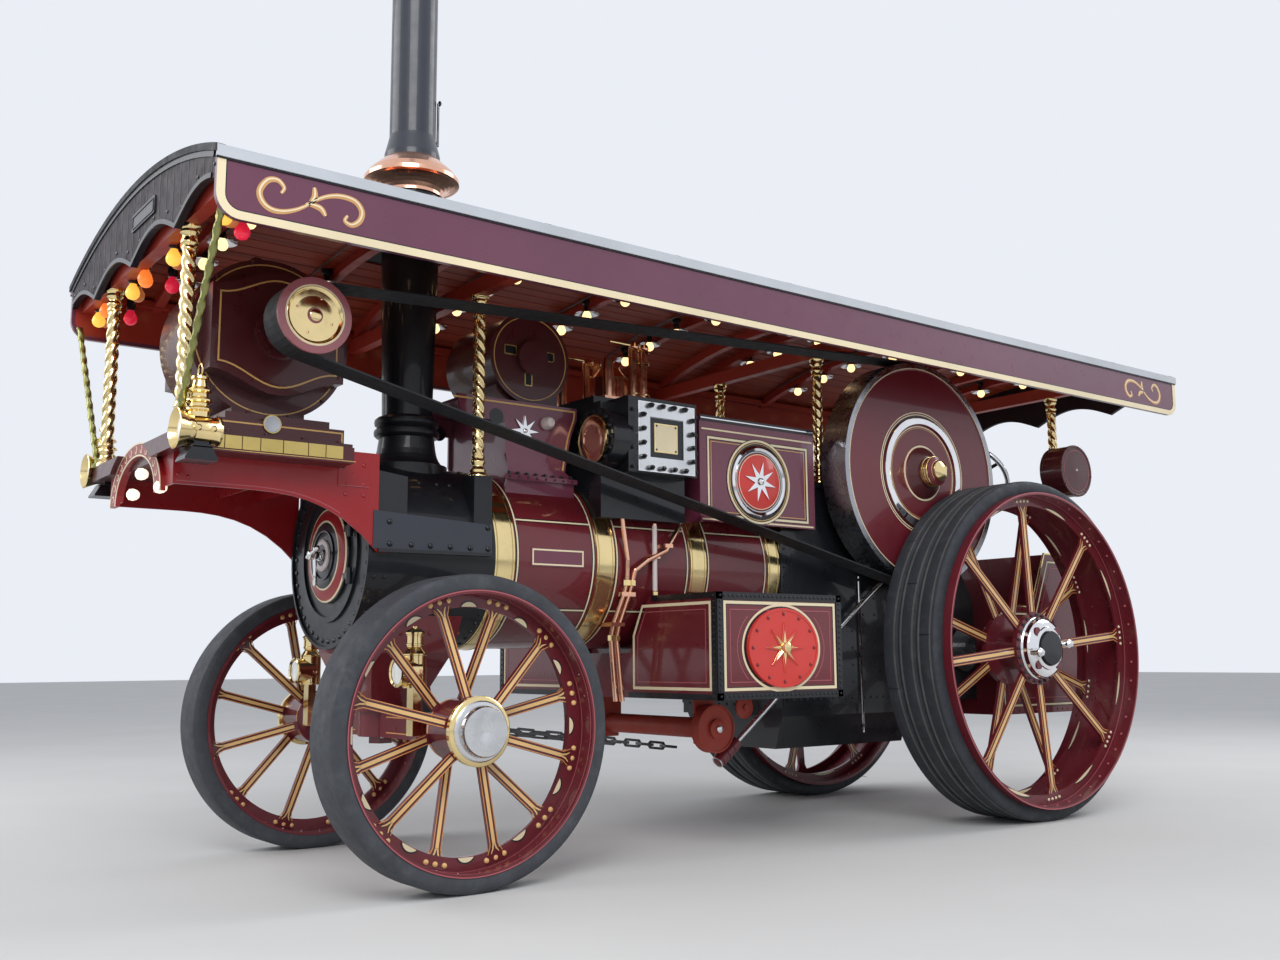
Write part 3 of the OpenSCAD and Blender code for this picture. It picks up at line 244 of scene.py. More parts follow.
# Fine lining; on the wheels' rims the same pink is drawn as painted highlights.
PINK = paint("fine pink line", (0.42, 0.10, 0.12), rough=0.4, coat=0.3)
WHITE_PAINT = paint("pale enamel", (0.72, 0.62, 0.60), rough=0.35, coat=0.5)
ARCH = paint("ornament ground", (0.30, 0.050, 0.055), rough=0.45, coat=0.2)
BEAM_RED = paint("ceiling beam red", (0.36, 0.032, 0.018), rough=0.45, coat=0.1)
CEILING = boards("ceiling boards", (0.29, 0.040, 0.016), 0.09)
BRASS = metal("polished brass", (0.91, 0.72, 0.36), rough=0.13, tarnish_share=0.15)
OLD_BRASS = metal("dull brass", (0.62, 0.47, 0.16), rough=0.30, tarnish_share=0.4)
OLIVE = metal("olive lacquered tube", (0.29, 0.29, 0.11), rough=0.35, tarnish=(0.16, 0.17, 0.05),
              tarnish_share=0.5, bump=0.3)
COPPER = metal("polished copper", (0.90, 0.50, 0.34), rough=0.15, tarnish=(0.45, 0.17, 0.10), tarnish_share=0.2)
STEEL = metal("bright steel", (0.72, 0.73, 0.74), rough=0.20, tarnish=(0.30, 0.29, 0.27))
RIM_STEEL = metal("flywheel rim steel", (0.40, 0.41, 0.44), rough=0.26, tarnish=(0.20, 0.20, 0.22))
CHROME = metal("bright cap", (0.86, 0.86, 0.87), rough=0.07, tarnish=(0.5, 0.5, 0.5), tarnish_share=0.1)
IRON = metal("oily iron", (0.10, 0.10, 0.105), rough=0.42, tarnish=(0.05, 0.035, 0.025), bump=0.2)
TYRE = rubber("front tyre rubber", (0.042, 0.046, 0.055), (0.12, 0.127, 0.135), 0.50, 0.85)
REAR_TYRE = rubber("rear tyre rubber", (0.026, 0.030, 0.038), (0.085, 0.095, 0.095), 0.52, 0.85)
DUSTY = rubber("dusty rubber edge", (0.085, 0.088, 0.085), (0.16, 0.165, 0.155), 0.40, 0.80)
BELT = rubber("driving belt", (0.014, 0.016, 0.019), (0.05, 0.05, 0.05), 0.55, 0.85)
WARM = glow("warm bulb", (1.0, 0.62, 0.28), 2.0)
AMBER = glow("amber bulb", (1.0, 0.23, 0.035), 0.75)
DIM_AMBER = glow("brown bulb", (0.42, 0.13, 0.04), 0.5)
YELLOW = glow("yellow bulb", (1.0, 0.55, 0.08), 0.8)
RUBY = glow("ruby bulb", (0.80, 0.02, 0.06), 0.45)
WHITE_BULB = glow("white bulb", (1.0, 0.84, 0.62), 1.1)
# The lens glows faintly: painted light for the reflector's shine.
LENS = glass("lamp lens", (0.80, 0.82, 0.80))

FINISH = {
    MAROON: "boiler_barrel belly_tank tender perch_bracket",
    WINE: "rear_wheel_left rear_wheel_right front_wheel_left front_wheel_right flywheel front_axle",
    DYNAMO: "dynamo_base dynamo_frame exciter dynamo_platform rear_drum",
    PINK_MAROON: "dynamo_pulley",
    PLUM: "motion_panels exciter_bracket",
    PURPLE: "side_boards",
    RED: "dynamo_bracket smokebox_door",
    SCARLET: "tank_discs",
    RUST_RED: "chain_barrel",
    BLACK: "firebox hornplates cylinder_block drawbar",
    END_BOARD: "end_boards",
    SOOT: "smokebox chimney",
    STACK: "chimney_extension",
    ROOF: "canopy_roof",
    BEAM_RED: "canopy_frame",
    BRASS: "boiler_bands front_lamps axle_lamps front_pillars middle_pillars motion_pillars rear_pillars",
    COPPER: "chimney_cap steam_fittings side_pipes",
    STEEL: "chest_covers motion_rods crankshaft steering_shaft rear_axle",
    IRON: "final_gear steering_chain_left steering_chain_right",
    TYRE: "front_tyre_left front_tyre_right",
    REAR_TYRE: "rear_tyre_left rear_tyre_right",
    BELT: "drive_belt",
}
for material, names in FINISH.items():
    for name in names.split():
        mesh = NODES[name].data
        mesh.materials.clear()
        mesh.materials.append(material)


# Shapes


def arc(cx, cy, r, start, end, steps):
    """Points along an arc, angles in degrees."""
    turn = [math.radians(start + (end - start) * i / steps) for i in range(steps + 1)]
    return [(cx + r * math.cos(a), cy + r * math.sin(a)) for a in turn]


def round_box(x0, y0, x1, y1, r, steps=5):
    """Outline of a rectangle with round corners."""
    return (arc(x1 - r, y1 - r, r, 0, 90, steps) + arc(x0 + r, y1 - r, r, 90, 180, steps)
            + arc(x0 + r, y0 + r, r, 180, 270, steps) + arc(x1 - r, y0 + r, r, 270, 360, steps))


def loop(centre, r, count, start=0.0, right=X, up=Z, r_up=None):
    """Points at equal turns round a centre, on a circle or an oval; start is an angle in degrees."""
    turns = [math.radians(start + 360 * i / count) for i in range(count)]
    return [centre + right * (r * math.cos(a)) + up * ((r if r_up is None else r_up) * math.sin(a)) for a in turns]


def grid(across, up):
    """Every pair of one number from each list."""
    return [(a, b) for a in across for b in up]


def spread(start, end, count):
    """Numbers from start to end, so many equal steps apart."""
    return [start + (end - start) * i / count for i in range(count + 1)]


def side_points(y, places):
    """Points on an upright plane along the engine; places lists (x from the rear axle, z)."""
    return [at(x, y, z) for x, z in places]


def star(r_out, r_in, points, turn=90):
    """Outline of a star."""
    turns = [math.radians(turn + i * 180 / points) for i in range(2 * points)]
    return [((r_in if i % 2 else r_out) * math.cos(a), (r_in if i % 2 else r_out) * math.sin(a))
            for i, a in enumerate(turns)]


def smooth_path(points, steps):
    """A smooth curve through points, with so many steps between two of them."""
    path, count = [], len(points)
    for i in range(count - 1):
        a, b, c, d = points[max(i - 1, 0)], points[i], points[i + 1], points[min(i + 2, count - 1)]
        for k in range(steps):
            t = k / steps
            path.append((b * 2 + (c - a) * t + (a * 2 - b * 5 + c * 4 - d) * t ** 2
                         + (b * 3 - a - c * 3 + d) * t ** 3) / 2)
    return path + [points[-1]]


def axes(normal, right=None):
    """Two unit vectors that span the plane across normal: right and up."""
    normal = normal.normalized()
    if right is None:
        right = Z.cross(normal)
        if right.length < 0.01:
            right = X.copy()
    right = (right - normal * right.dot(normal)).normalized()
    return right, normal.cross(right)


class Piece:
    """One mesh made of simple closed shapes, which rides on one body and has one material."""

    def __init__(self, name, body, material, slot):
        self.name, self.body, self.material, self.slot = name, body, material, slot
        self.points, self.faces = [], []

    def add(self, points, faces):
        """Points, and faces that count from the first of them."""
        base = len(self.points)
        self.points += [Vector(p) for p in points]
        self.faces += [tuple(base + i for i in f) for f in faces]

    def rings(self, rings, closed=False, caps=True):
        """A skin through rings of equal counts."""
        n, count = len(rings[0]), len(rings)
        faces = []
        for k in range(count if closed else count - 1):
            a, b = k * n, (k + 1) % count * n
            faces += [(a + i, a + (i + 1) % n, b + (i + 1) % n, b + i) for i in range(n)]
        if caps and not closed:
            faces += [tuple(reversed(range(n))), tuple(range((count - 1) * n, count * n))]
        self.add([p for ring in rings for p in ring], faces)

    def turned(self, base, axis, profile, sides=32, caps=True):
        """A turned shape: profile lists (radius, distance along the axis)."""
        right, up = axes(axis)
        axis = axis.normalized()
        self.rings([loop(base + axis * h, r, sides, right=right, up=up) for r, h in profile], caps=caps)

    def ring(self, base, axis, inner, outer, height, sides=48, crown=0.0):
        """A flat or crowned ring that stands on a face."""
        middle_r = (inner + outer) / 2
        self.turned(base, axis, [(inner, 0), (inner, height), (middle_r, height + crown), (outer, height),
                                 (outer, 0)], sides, caps=False)

    def slab(self, origin, normal, outline, depth, right=None):
        """An outline drawn on a face, raised from it by depth."""
        right, up = axes(normal, right)
        normal = normal.normalized()
        low = [origin + right * a + up * b for a, b in outline]
        self.rings([low, [p + normal * depth for p in low]])

    def block(self, one, other):
        """A block between two opposite corners."""
        (x0, x1), (y0, y1), (z0, z1) = (sorted(pair) for pair in zip(one, other))
        self.rings([[Vector(p) for p in ((x0, y0, z), (x1, y0, z), (x1, y1, z), (x0, y1, z))] for z in (z0, z1)])

    def line(self, path, normal, width, height=0.0012, closed=False, lift=0.0):
        """A painted line: a thin strip along a path on a face. normal is one vector, or one for each point."""
        count = len(path)
        normals = normal if isinstance(normal, list) else [normal] * count
        rings = []
        for i, p in enumerate(path):
            before = path[i - 1] if i or closed else p
            after = path[(i + 1) % count] if i < count - 1 or closed else p
            n = normals[i].normalized()
            one, two = p - before, after - p
            if one.length < 1e-9:
                one = two
            if two.length < 1e-9:
                two = one
            one, two = one.normalized(), two.normalized()
            side = n.cross((one + two).normalized()).normalized()
            wide = width / 2 / max(0.35, side.dot(n.cross(two).normalized()))
            left, right = p + n * lift - side * wide, p + n * lift + side * wide
            rings.append([left, right, right + n * height, left + n * height])
        self.rings(rings, closed=closed)

    def stroke(self, path, normal, widths, height=0.0012):
        """A painted stroke whose width changes along its path."""
        rings = []
        for i, p in enumerate(path):
            along = (path[min(i + 1, len(path) - 1)] - path[max(i - 1, 0)]).normalized()
            side = normal.cross(along).normalized() * widths[i] / 2
            rings.append([p - side, p + side, p + side + normal * height, p - side + normal * height])
        self.rings(rings)

    def tube(self, path, radius, sides=8, closed=False):
        """A round bar or pipe along a path. radius is one number, or one for each point."""
        count = len(path)
        radii = radius if isinstance(radius, list) else [radius] * count
        rings, side = [], None
        for i, p in enumerate(path):
            before = path[i - 1] if i or closed else p
            after = path[(i + 1) % count] if i < count - 1 or closed else p
            along = (after - before).normalized()
            side = axes(along)[0] if side is None else (side - along * side.dot(along)).normalized()
            rings.append(loop(p, radii[i], sides, right=side, up=along.cross(side)))
        self.rings(rings, closed=closed)

    def dome(self, centre, normal, r, height=None, sides=8):
        """A rivet's head."""
        height = r * 0.7 if height is None else height
        self.turned(centre, normal, [(r, 0), (r * 0.86, height * 0.6), (r * 0.4, height)], sides)

    def nut(self, centre, normal, r, height, stud=True):
        """A hexagon nut, with the end of its stud."""
        self.turned(centre, normal, [(r, 0), (r, height * 0.85), (r * 0.86, height)], 6)
        if stud:
            self.turned(centre + normal.normalized() * height, normal, [(r * 0.48, 0), (r * 0.4, height * 0.4)], 8)

    def finish(self, smooth=38):
        """Make the object; edges sharper than smooth degrees stay sharp."""
        mesh = bpy.data.meshes.new(self.name)
        mesh.from_pydata([tuple(p) for p in self.points], [], self.faces)
        mesh.validate()
        shape = bmesh.new()
        shape.from_mesh(mesh)
        bmesh.ops.recalc_face_normals(shape, faces=shape.faces)
        shape.to_mesh(mesh)
        shape.free()
        mesh.materials.append(self.material)
        mesh.shade_smooth()
        mesh.set_sharp_from_angle(angle=math.radians(smooth))
        obj = bpy.data.objects.new(self.name, mesh)
        bpy.context.scene.collection.objects.link(obj)
        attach(obj, self.body)
        return obj


# The slot that each material goes to, where a call names no other
SLOTS = {
    "maroon_paint": (MAROON, WINE, DYNAMO, PLUM, PINK_MAROON, SCARLET, CREAM, GOLD, ORANGE, PEACH, PINK,
                     WHITE_PAINT),
    "red_paint": (RED, ARCH, DARK_RED, RUST_RED),
    "black_paint": (BLACK, SOOT, STACK),
    "roof_paint": (ROOF, EDGE_GREY),
    "board_paint": (SCROLL,),
    "ceiling_wood": (CEILING, BEAM_RED),
    "brass": (BRASS, OLD_BRASS, OLIVE, LENS, WARM, AMBER, DIM_AMBER, YELLOW, RUBY, WHITE_BULB),
    "copper": (COPPER,),
    "steel": (STEEL, RIM_STEEL, CHROME),
    "iron": (IRON,),
    "tyre": (DUSTY,),
}
SLOT_OF = {material: slot for slot, materials in SLOTS.items() for material in materials}


class Kit:
    """The pieces of one subject on one body, one mesh for each material used."""

    def __init__(self, name, body="engine"):
        self.name, self.body, self.made = name, body, {}

    def __call__(self, material, slot=None):
        if material.name not in self.made:
            label = f"{self.name}_{material.name}".replace(" ", "_")
            self.made[material.name] = Piece(label, self.body, material, slot or SLOT_OF[material])
        return self.made[material.name]

    def finish(self):
        return [piece.finish() for piece in self.made.values()]


# Canopy

BOARD_LOW, BOARD_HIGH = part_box("side_boards")
ROOF_LOW, ROOF_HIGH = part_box("canopy_roof")
BORDER_R = 0.095
EDGE_HALF = ROOF_HIGH.y
BOARD_T = 0.025
# Inner face of the side boards
INNER_HALF = BOARD_HIGH.y - BOARD_T
CHIMNEY_X = middle("chimney_cap").x


def roof_under(y):
    """Height of the underside of the arched roof."""
    rise = 0.2
    radius = (EDGE_HALF ** 2 + rise ** 2) / (2 * rise)
    return BOARD_HIGH.z + rise - radius + math.sqrt(radius ** 2 - y * y)


def arch_low(y):
    """Height of the end boards' lower edge, a row of arches."""
    return BOARD_LOW.z + 0.089 + 0.09 * abs(math.sin(math.pi * y / 0.63))


# A painted scroll: a low volute, a high volute, a leaf and a tail, drawn from the board's end inwards
VOLUTES = (
    [(-0.132, 0.006), (-0.120, 0.030), (-0.146, 0.055), (-0.186, 0.046), (-0.216, 0.000), (-0.208, -0.040),
     (-0.176, -0.066), (-0.126, -0.068), (-0.066, -0.046), (-0.013, -0.011)],
    [(-0.030, -0.018), (0.046, 0.030), (0.113, 0.049), (0.176, 0.042), (0.207, 0.006), (0.199, -0.035),
     (0.166, -0.061), (0.135, -0.050), (0.146, -0.025)],
    [(-0.016, -0.013), (0.005, 0.020), (0.003, 0.060)],
    [(-0.020, -0.012), (0.030, -0.020), (0.053, -0.047)],
)


def flourish(kit, origin, right, normal):
    """One painted scroll with a light edge."""
    base, light = kit(SCROLL), kit(CREAM, "board_paint")
    for points in VOLUTES:
        path = smooth_path([origin + right * a + Z * b for a, b in points], 5)
        count = len(path)
        swell = [math.sin(math.pi * (i + 0.5) / count) for i in range(count)]
        base.stroke(path, normal, [0.011 + 0.015 * s for s in swell])
        light.stroke([p + Z * 0.0035 * s for p, s in zip(path, swell)], normal, [0.004 + 0.004 * s for s in swell],
                     0.0018)


def board_edge(inset, top):
    """The side boards' outline inside their edge: down one end, along the foot and up the other end."""
    x0, x1, z0, r = BOARD_LOW.x, BOARD_HIGH.x, BOARD_LOW.z, BORDER_R - inset
    return ([(x0 + inset, BOARD_HIGH.z - top)] + arc(x0 + BORDER_R, z0 + BORDER_R, r, 180, 270, 8)
            + arc(x1 - BORDER_R, z0 + BORDER_R, r, 270, 360, 8) + [(x1 - inset, BOARD_HIGH.z - top)])


def side_board_paint(kit):
    """Border, scrolls, red inner face and edge strips of the long side boards."""
    cream, grey, black, red = kit(CREAM, "board_paint"), kit(EDGE_GREY), kit(BLACK, "board_paint"), kit(BEAM_RED)
    x0, x1, z1 = BOARD_LOW.x, BOARD_HIGH.x, BOARD_HIGH.z
    roof_edge = ROOF_HIGH.z - roof_under(0) + 0.001
    for side in (1, -1):
        face, out = side * BOARD_HIGH.y, Y * side
        for inset, width, pen, height in ((0.0165, 0.033, cream, 0.003), (0.0355, 0.005, black, 0.001)):
            pen.line([Vector((x, face, z)) for x, z in board_edge(inset, 0.016)], out, width, height)
        red.rings([[Vector((x, side * y, z)) for x, z in board_edge(0.02, 0.01)]
                   for y in (INNER_HALF, INNER_HALF - 0.0015)])
        for x, inward in ((4.70, -X), (-1.275, X)):
            flourish(kit, at(x, face, 2.776), inward, out)
        for pen, low, high, reach in ((grey, 0.016, -roof_edge, 0.0125), (black, 0.023, 0.016, 0.006)):
            pen.block((x0 - 0.006, face, z1 - low), (x1 + 0.006, face + side * reach, z1 - high))


def end_board_planks(kit):
    """Joints between the upright planks, hooks and a blank plate on each end board."""
    dark, plate = kit(SOOT), kit(BLACK)
    low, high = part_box("end_boards")
    for x, out in ((high.x, X), (low.x, -X)):
        for k in range(-11, 12):
            y = k * 0.097
            dark.line([Vector((x, y, z)) for z in (arch_low(y) + 0.004, roof_under(y) - 0.012)], out, 0.0055)
            if k % 2:
                plate.dome(Vector((x, y + 0.030, arch_low(y) + 0.045)), out, 0.009)
        plate.line([Vector((x, y, arch_low(y) + 0.010)) for y in spread(-1.071, 1.071, 68)], out, 0.020, 0.006)
        plate.line([Vector((x, y, roof_under(y) - 0.012)) for y in spread(-1.095, 1.095, 30)], out, 0.024, 0.006)
        sign = Vector((x, 0.17, 2.925))
        plate.slab(sign, out, round_box(-0.17, -0.040, 0.17, 0.040, 0.01), 0.008)
        dark.line([sign + Y * a + Z * b for a, b in round_box(-0.155, -0.028, 0.155, 0.028, 0.008)], out, 0.006,
                  closed=True, height=0.011)


def ceiling(kit):
    """Tongued boards under the roof, with room for the chimney."""
    wood, hole_r = kit(CEILING), 0.19
    x0, x1 = BOARD_LOW.x + 0.03, BOARD_HIGH.x - 0.04
    edges = spread(0.03 - BOARD_HIGH.y, BOARD_HIGH.y - 0.03, 24)
    for a, b in zip(edges, edges[1:]):
        near_hole = min(abs(a), abs(b)) < hole_r
        spans = ((x0, CHIMNEY_X - hole_r), (CHIMNEY_X + hole_r, x1)) if near_hole else ((x0, x1),)
        section = ((a + 0.001, 0.004), (a + 0.005, 0.010), (b - 0.005, 0.010), (b - 0.001, 0.004))
        for ends in spans:
            wood.rings([[Vector((x, y, roof_under(y) - d)) for y, d in section] for x in ends])


# Rows of bulbs along the ceiling, x from the rear axle, and their places across
RIB_ROWS = (-1.25, -0.52, 0.20, 0.91, 1.78, 2.46, 3.18, 3.97, 4.62)
ROW_Y = (-0.72, -0.46, -0.19, 0.19, 0.46, 0.72)


def pear(piece, top, r):
    """A hanging bulb, from its cap downwards."""
    piece.turned(top, -Z, [(r * wide, r * down) for wide, down in (
        (0.42, 0), (0.52, 0.3), (0.82, 0.8), (1, 1.35), (0.92, 1.8), (0.6, 2.2), (0.2, 2.36))], 14)


def ceiling_bulbs(kit):
    """Lit bulbs under pale shades in rows across the ceiling, none of them at the chimney."""
    lit, shade, cap, wire = kit(WARM), kit(STEEL), kit(BLACK), kit(IRON)
    for x in RIB_ROWS:
        for y in ROW_Y:
            if abs(AXLE.x + x - CHIMNEY_X) < 0.3 and abs(y) < 0.25:
                continue
            top = at(x, y, roof_under(y) - 0.010)
            cap.turned(top, -Z, [(0.030, 0), (0.030, 0.02), (0.018, 0.03), (0.018, 0.062)], 12)
            shade.turned(top - Z * 0.050, -Z, [(0.020, 0), (0.040, 0.016), (0.074, 0.030), (0.072, 0.033),
                                               (0.040, 0.020), (0.020, 0.006)], 16, caps=False)
            pear(lit, top - Z * 0.056, 0.028)
        wire.tube([at(x + 0.05, y, roof_under(y) - 0.014) for y in (-0.9, -0.5, 0.0, 0.5, 0.9)], 0.004, 6)


# Coloured bulbs at each arch of the front board: how far across from the arch's middle, behind the board and
# down, and the colour
ARCH_BULBS = ((0.15, 0.05, 0.06, AMBER), (0.05, 0.08, 0.04, AMBER), (-0.05, 0.05, 0.08, YELLOW),
              (-0.15, 0.10, 0.06, DIM_AMBER))


def front_bulbs(kit):
    """Clusters of coloured bulbs on short black holders behind the arches of the front board."""
    board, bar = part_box("end_boards")[1].x, kit(BLACK)
    pens = {color: kit(color) for color in (AMBER, YELLOW, RUBY, DIM_AMBER)}
    for arch_y in (0.945, 0.315, -0.315, -0.945):
        squeeze = 0.7 if abs(arch_y) > 0.9 else 1.0
        for across, back, drop, color in ARCH_BULBS + ((math.copysign(0.20, -arch_y), 0.16, 0.09, RUBY),):
            y = arch_y + across * squeeze
            top = Vector((board - 0.055 - back, y, 2.845 - drop))
            bar.tube([Vector((top.x, y, roof_under(y) - 0.01)), top + Z * 0.05], 0.006, 6)
            bar.turned(top, Z, [(0.022, -0.004), (0.024, 0.022), (0.020, 0.050), (0.010, 0.062)], 12)
            pear(pens[color], top, 0.034)


def roof_dress(kit):
    """Seams and tacked hems of the roof's canvas, and the collar where the chimney passes."""
    canvas, tack, collar = kit(ROOF), kit(IRON), kit(BLACK)
    rise, x0, x1 = ROOF_HIGH.z - roof_under(0), ROOF_LOW.x, ROOF_HIGH.x
    across = spread(-EDGE_HALF * 0.985, EDGE_HALF * 0.985, 36)

    def top(x, y):
        return Vector((x, y, roof_under(y) + rise))
    for x in spread(x0, x1, 9)[1:-1]:
        near = abs(x - CHIMNEY_X) <= 0.25
        for span in ([y for y in across if y < -0.24], [y for y in across if y > 0.24]) if near else (across,):
            canvas.line([top(x, y) for y in span], Z, 0.034, 0.004)
    for x in (x0 + 0.024, x1 - 0.024):
        canvas.line([top(x, y) for y in across], Z, 0.036, 0.005)
        for y in across[1:-1:2]:
            tack.dome(top(x, y) + Z * 0.005, Z, 0.006, 0.003, 8)
    profile = ((0.176, 0.002), (0.176, 0.016), (0.205, 0.012), (0.232, 0.004), (0.232, -0.002))
    collar.rings([[top(p.x, p.y) + Z * lift for p in loop(Vector((CHIMNEY_X, 0, 0)), r, 64, up=Y)]
                  for r, lift in profile], caps=False)


def canopy_stays(kit):
    """Slanting twisted tubes from the lamps at the platform's corners out to the side boards."""
    tube = kit(OLIVE)
    for side in (1, -1):
        foot, head = at(5.035, side * 0.600, 1.900), at(5.045, side * 1.080, 2.690)
        rings, count = [], 90
        along = (head - foot).normalized()
        right, up = axes(along)
        for i in range(count + 1):
            centre, turn = foot.lerp(head, i / count), side * i * 0.42
            ring = []
            for k in range(12):
                a = 2 * math.pi * k / 12
                r = 0.0165 * (0.84 + 0.16 * math.cos(2 * (a - turn)))
                ring.append(centre + right * r * math.cos(a) + up * r * math.sin(a))
            rings.append(ring)
        tube.rings(rings)
        tube.turned(foot - Z * 0.004, Z, [(0.030, 0), (0.030, 0.012), (0.018, 0.024)], 16)


def dress_canopy():
    """All that is drawn on the canopy."""
    kit = Kit("canopy")
    for dress in (side_board_paint, end_board_planks, ceiling, ceiling_bulbs, front_bulbs, roof_dress,
                  canopy_stays):
        dress(kit)
    kit.finish()


dress_canopy()


# Pillars

PILLAR_R = 0.0315
# How far a pillar's foot reaches in plan, its height, and the rope's twist in radians a metre
FOOT_R = 0.046
FOOT_H = 0.10
TWIST = 34.0
PILLARS = ("front_pillars", "middle_pillars", "motion_pillars", "rear_pillars")


def rope_ring(base, z, r, turn, lobes=3, steps=24):
    """Section of a rope-twisted column: lobes with sharp valleys between."""
    ring = []
    for i in range(steps):
        a = 2 * math.pi * i / steps
        wave = abs(math.cos(lobes * (a - turn) / 2))
        ring.append(base + Vector((math.cos(a), math.sin(a), 0)) * r * (0.70 + 0.30 * wave) + Z * z)
    return ring


def dress_pillars():
    """A twisted brass pillar with turned ends in place of each plain one."""
    foot = [(FOOT_R, 0), (FOOT_R, 0.014), (0.037, 0.022), (0.040, 0.034), (0.030, 0.046), (0.029, 0.062),
            (0.036, 0.070), (0.036, 0.080), (0.028, 0.090), (0.033, 0.098), (0.033, 0.106)]
    for node in PILLARS:
        low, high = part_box(node)
        brass = Piece(node + "_twisted", "engine", BRASS, "brass")
        height, x = high.z - low.z, (low.x + high.x) / 2
        for side in (1, -1):
            base = Vector((x, side * (high.y - FOOT_R), low.z))
            rise = height - 2 * FOOT_H
            brass.rings([rope_ring(base, FOOT_H + z, PILLAR_R, -side * z * TWIST)
                         for z in spread(0, rise, int(rise / 0.011))])
            brass.turned(base, Z, foot, 24)
            brass.turned(base + Z * height, -Z, foot, 24)
        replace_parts(brass.finish(50), node)


dress_pillars()


# Wheels


class Wheel:
    """A wheel's own polar places: angle turns from straight up towards the front, out is the distance outwards."""

    def __init__(self, centre, side):
        self.centre, self.side, self.out = centre, side, Y * side

    def radial(self, angle):
        a = math.radians(angle)
        return Vector((math.sin(a), 0, math.cos(a)))

    def at(self, angle, r, out):
        return self.centre + self.radial(angle) * r + self.out * out

    def circle(self, r, out, steps=96):
        return [self.at(360 * i / steps, r, out) for i in range(steps)]

    def rays(self, sign=1, steps=96):
        """Outward directions at the points of a circle, or inward ones."""
        return [self.radial(360 * i / steps) * sign for i in range(steps)]


def spoke_paint(kit, wheel, angle, ends, outs, half):
    """A forked peach stripe with dark edges along a spoke, and a fine gold line at each side."""
    (r0, r1), (out0, out1) = ends, outs
    across = wheel.radial(angle + 90)

    def on(r, side=0.0):
        return wheel.at(angle, r, out0 + (out1 - out0) * (r - r0) / (r1 - r0)) + across * side
    normal = across.cross((on(r1) - on(r0)).normalized())
    if normal.dot(wheel.out) < 0:
        normal = -normal
    width, fork = half * 0.74, r1 - half * 1.7
    black, peach, gold = kit(BLACK, "maroon_paint"), kit(PEACH), kit(ORANGE)
    for pen, extra, height in ((black, 0.007, 0.0006), (peach, 0.0, 0.0012)):
        pen.line([on(r0), on(fork)], normal, width + extra, height)
        for turn in (-1, 1):
            pen.stroke([on(fork - 0.004, turn * width * 0.24), on((fork + r1) / 2, turn * width * 0.55),
                        on(r1, turn * width * 1.25)], normal,
                       [width * 0.52 + extra, width * 0.46 + extra, width * 0.25 + extra], height)
    for turn in (-1, 1):
        gold.line([on(r0, turn * half * 0.87), on(fork, turn * half * 0.87), on(r1, turn * half * 1.7)], normal,
                  half * 0.15)


def half_moon(kit, wheel, angle, r, out, half, depth):
    """A cream half-moon on the web's edge between two spokes, with a black edge."""
    radius = (half ** 2 + depth ** 2) / (2 * depth)
    centre = wheel.at(angle, r + depth - radius, out)
    radial, across = wheel.radial(angle), wheel.radial(angle + 90)
    reach = math.asin(min(1.0, half / radius))
    bow = [centre + radial * (radius * math.cos(a)) + across * (radius * math.sin(a))
           for a in spread(-reach, reach, 10)]
    cream = kit(CREAM)
    cream.rings([bow, [p + wheel.out * 0.0012 for p in bow]])
    kit(BLACK, "maroon_paint").line(bow, wheel.out, 0.006, 0.0016)


def front_face(kit, wheel, hub_places):
    """Painted spokes and their rivets on one face of a front wheel. Even and odd spokes meet the hub apart."""
    rivet = kit(PEACH)
    for i in range(12):
        angle = (i + 0.5) * 30
        outs = [hub_places[i % 2] * (1 - (r - 0.122) / (0.585 - 0.122)) + 0.0092 for r in (0.150, 0.543)]
        spoke_paint(kit, wheel, angle, (0.150, 0.543), outs, 0.022)
        for k in (-1, 0, 1):
            rivet.dome(wheel.at(angle + k * 4.6, 0.566, 0.0075), wheel.out, 0.0125, 0.010, 12)


def front_wheel_dress(kit, wheel):
    """Spokes, web, rim and hub cap of a front wheel."""
    rim_r, web_in = 0.603, 0.531
    front_face(kit, wheel, (0.068, -0.105))
    front_face(kit, Wheel(wheel.centre, -wheel.side), (-0.068, 0.105))
    for i in range(12):
        half_moon(kit, wheel, (i + 1) * 30, web_in + 0.002, 0.0075, 0.042, 0.024)
    small = kit(WINE)
    for i in range(36):
        for y in (-0.070, 0.070):
            small.dome(wheel.at(i * 10 + 3, rim_r - 0.0145, y), -wheel.radial(i * 10 + 3), 0.008, 0.005, 6)
    # The pink lines round the rim's outer edge and along its inner face are painted highlights where light catches
    # the rim.
    edge = kit(PINK)
    edge.line(wheel.circle(rim_r - 0.003, 0.1155), wheel.out, 0.005, closed=True)
    for y in (0.030, 0.100):
        edge.line(wheel.circle(rim_r - 0.0142, y), wheel.rays(-1), 0.0035, closed=True)
    brass, steel = kit(BRASS), kit(STEEL)
    brass.turned(wheel.at(0, 0, 0.0935), wheel.out, [(0.1325, -0.004), (0.1495, 0.0), (0.1500, 0.022),
                                                    (0.1460, 0.0262), (0.1290, 0.0290)], 64, caps=False)
    steel.turned(wheel.at(0, 0, 0.118), wheel.out, [(0.130, 0), (0.130, 0.010), (0.1245, 0.016), (0.111, 0.018),
                                                   (0.1092, 0.022), (0.1085, 0.045), (0.103, 0.054),
                                                   (0.020, 0.0562), (0.012, 0.0547), (0, 0.0545)], 64)
    kit(ORANGE).ring(wheel.at(0, 0, -0.110), wheel.out, 0.1325, 0.1338, 0.010, 64)


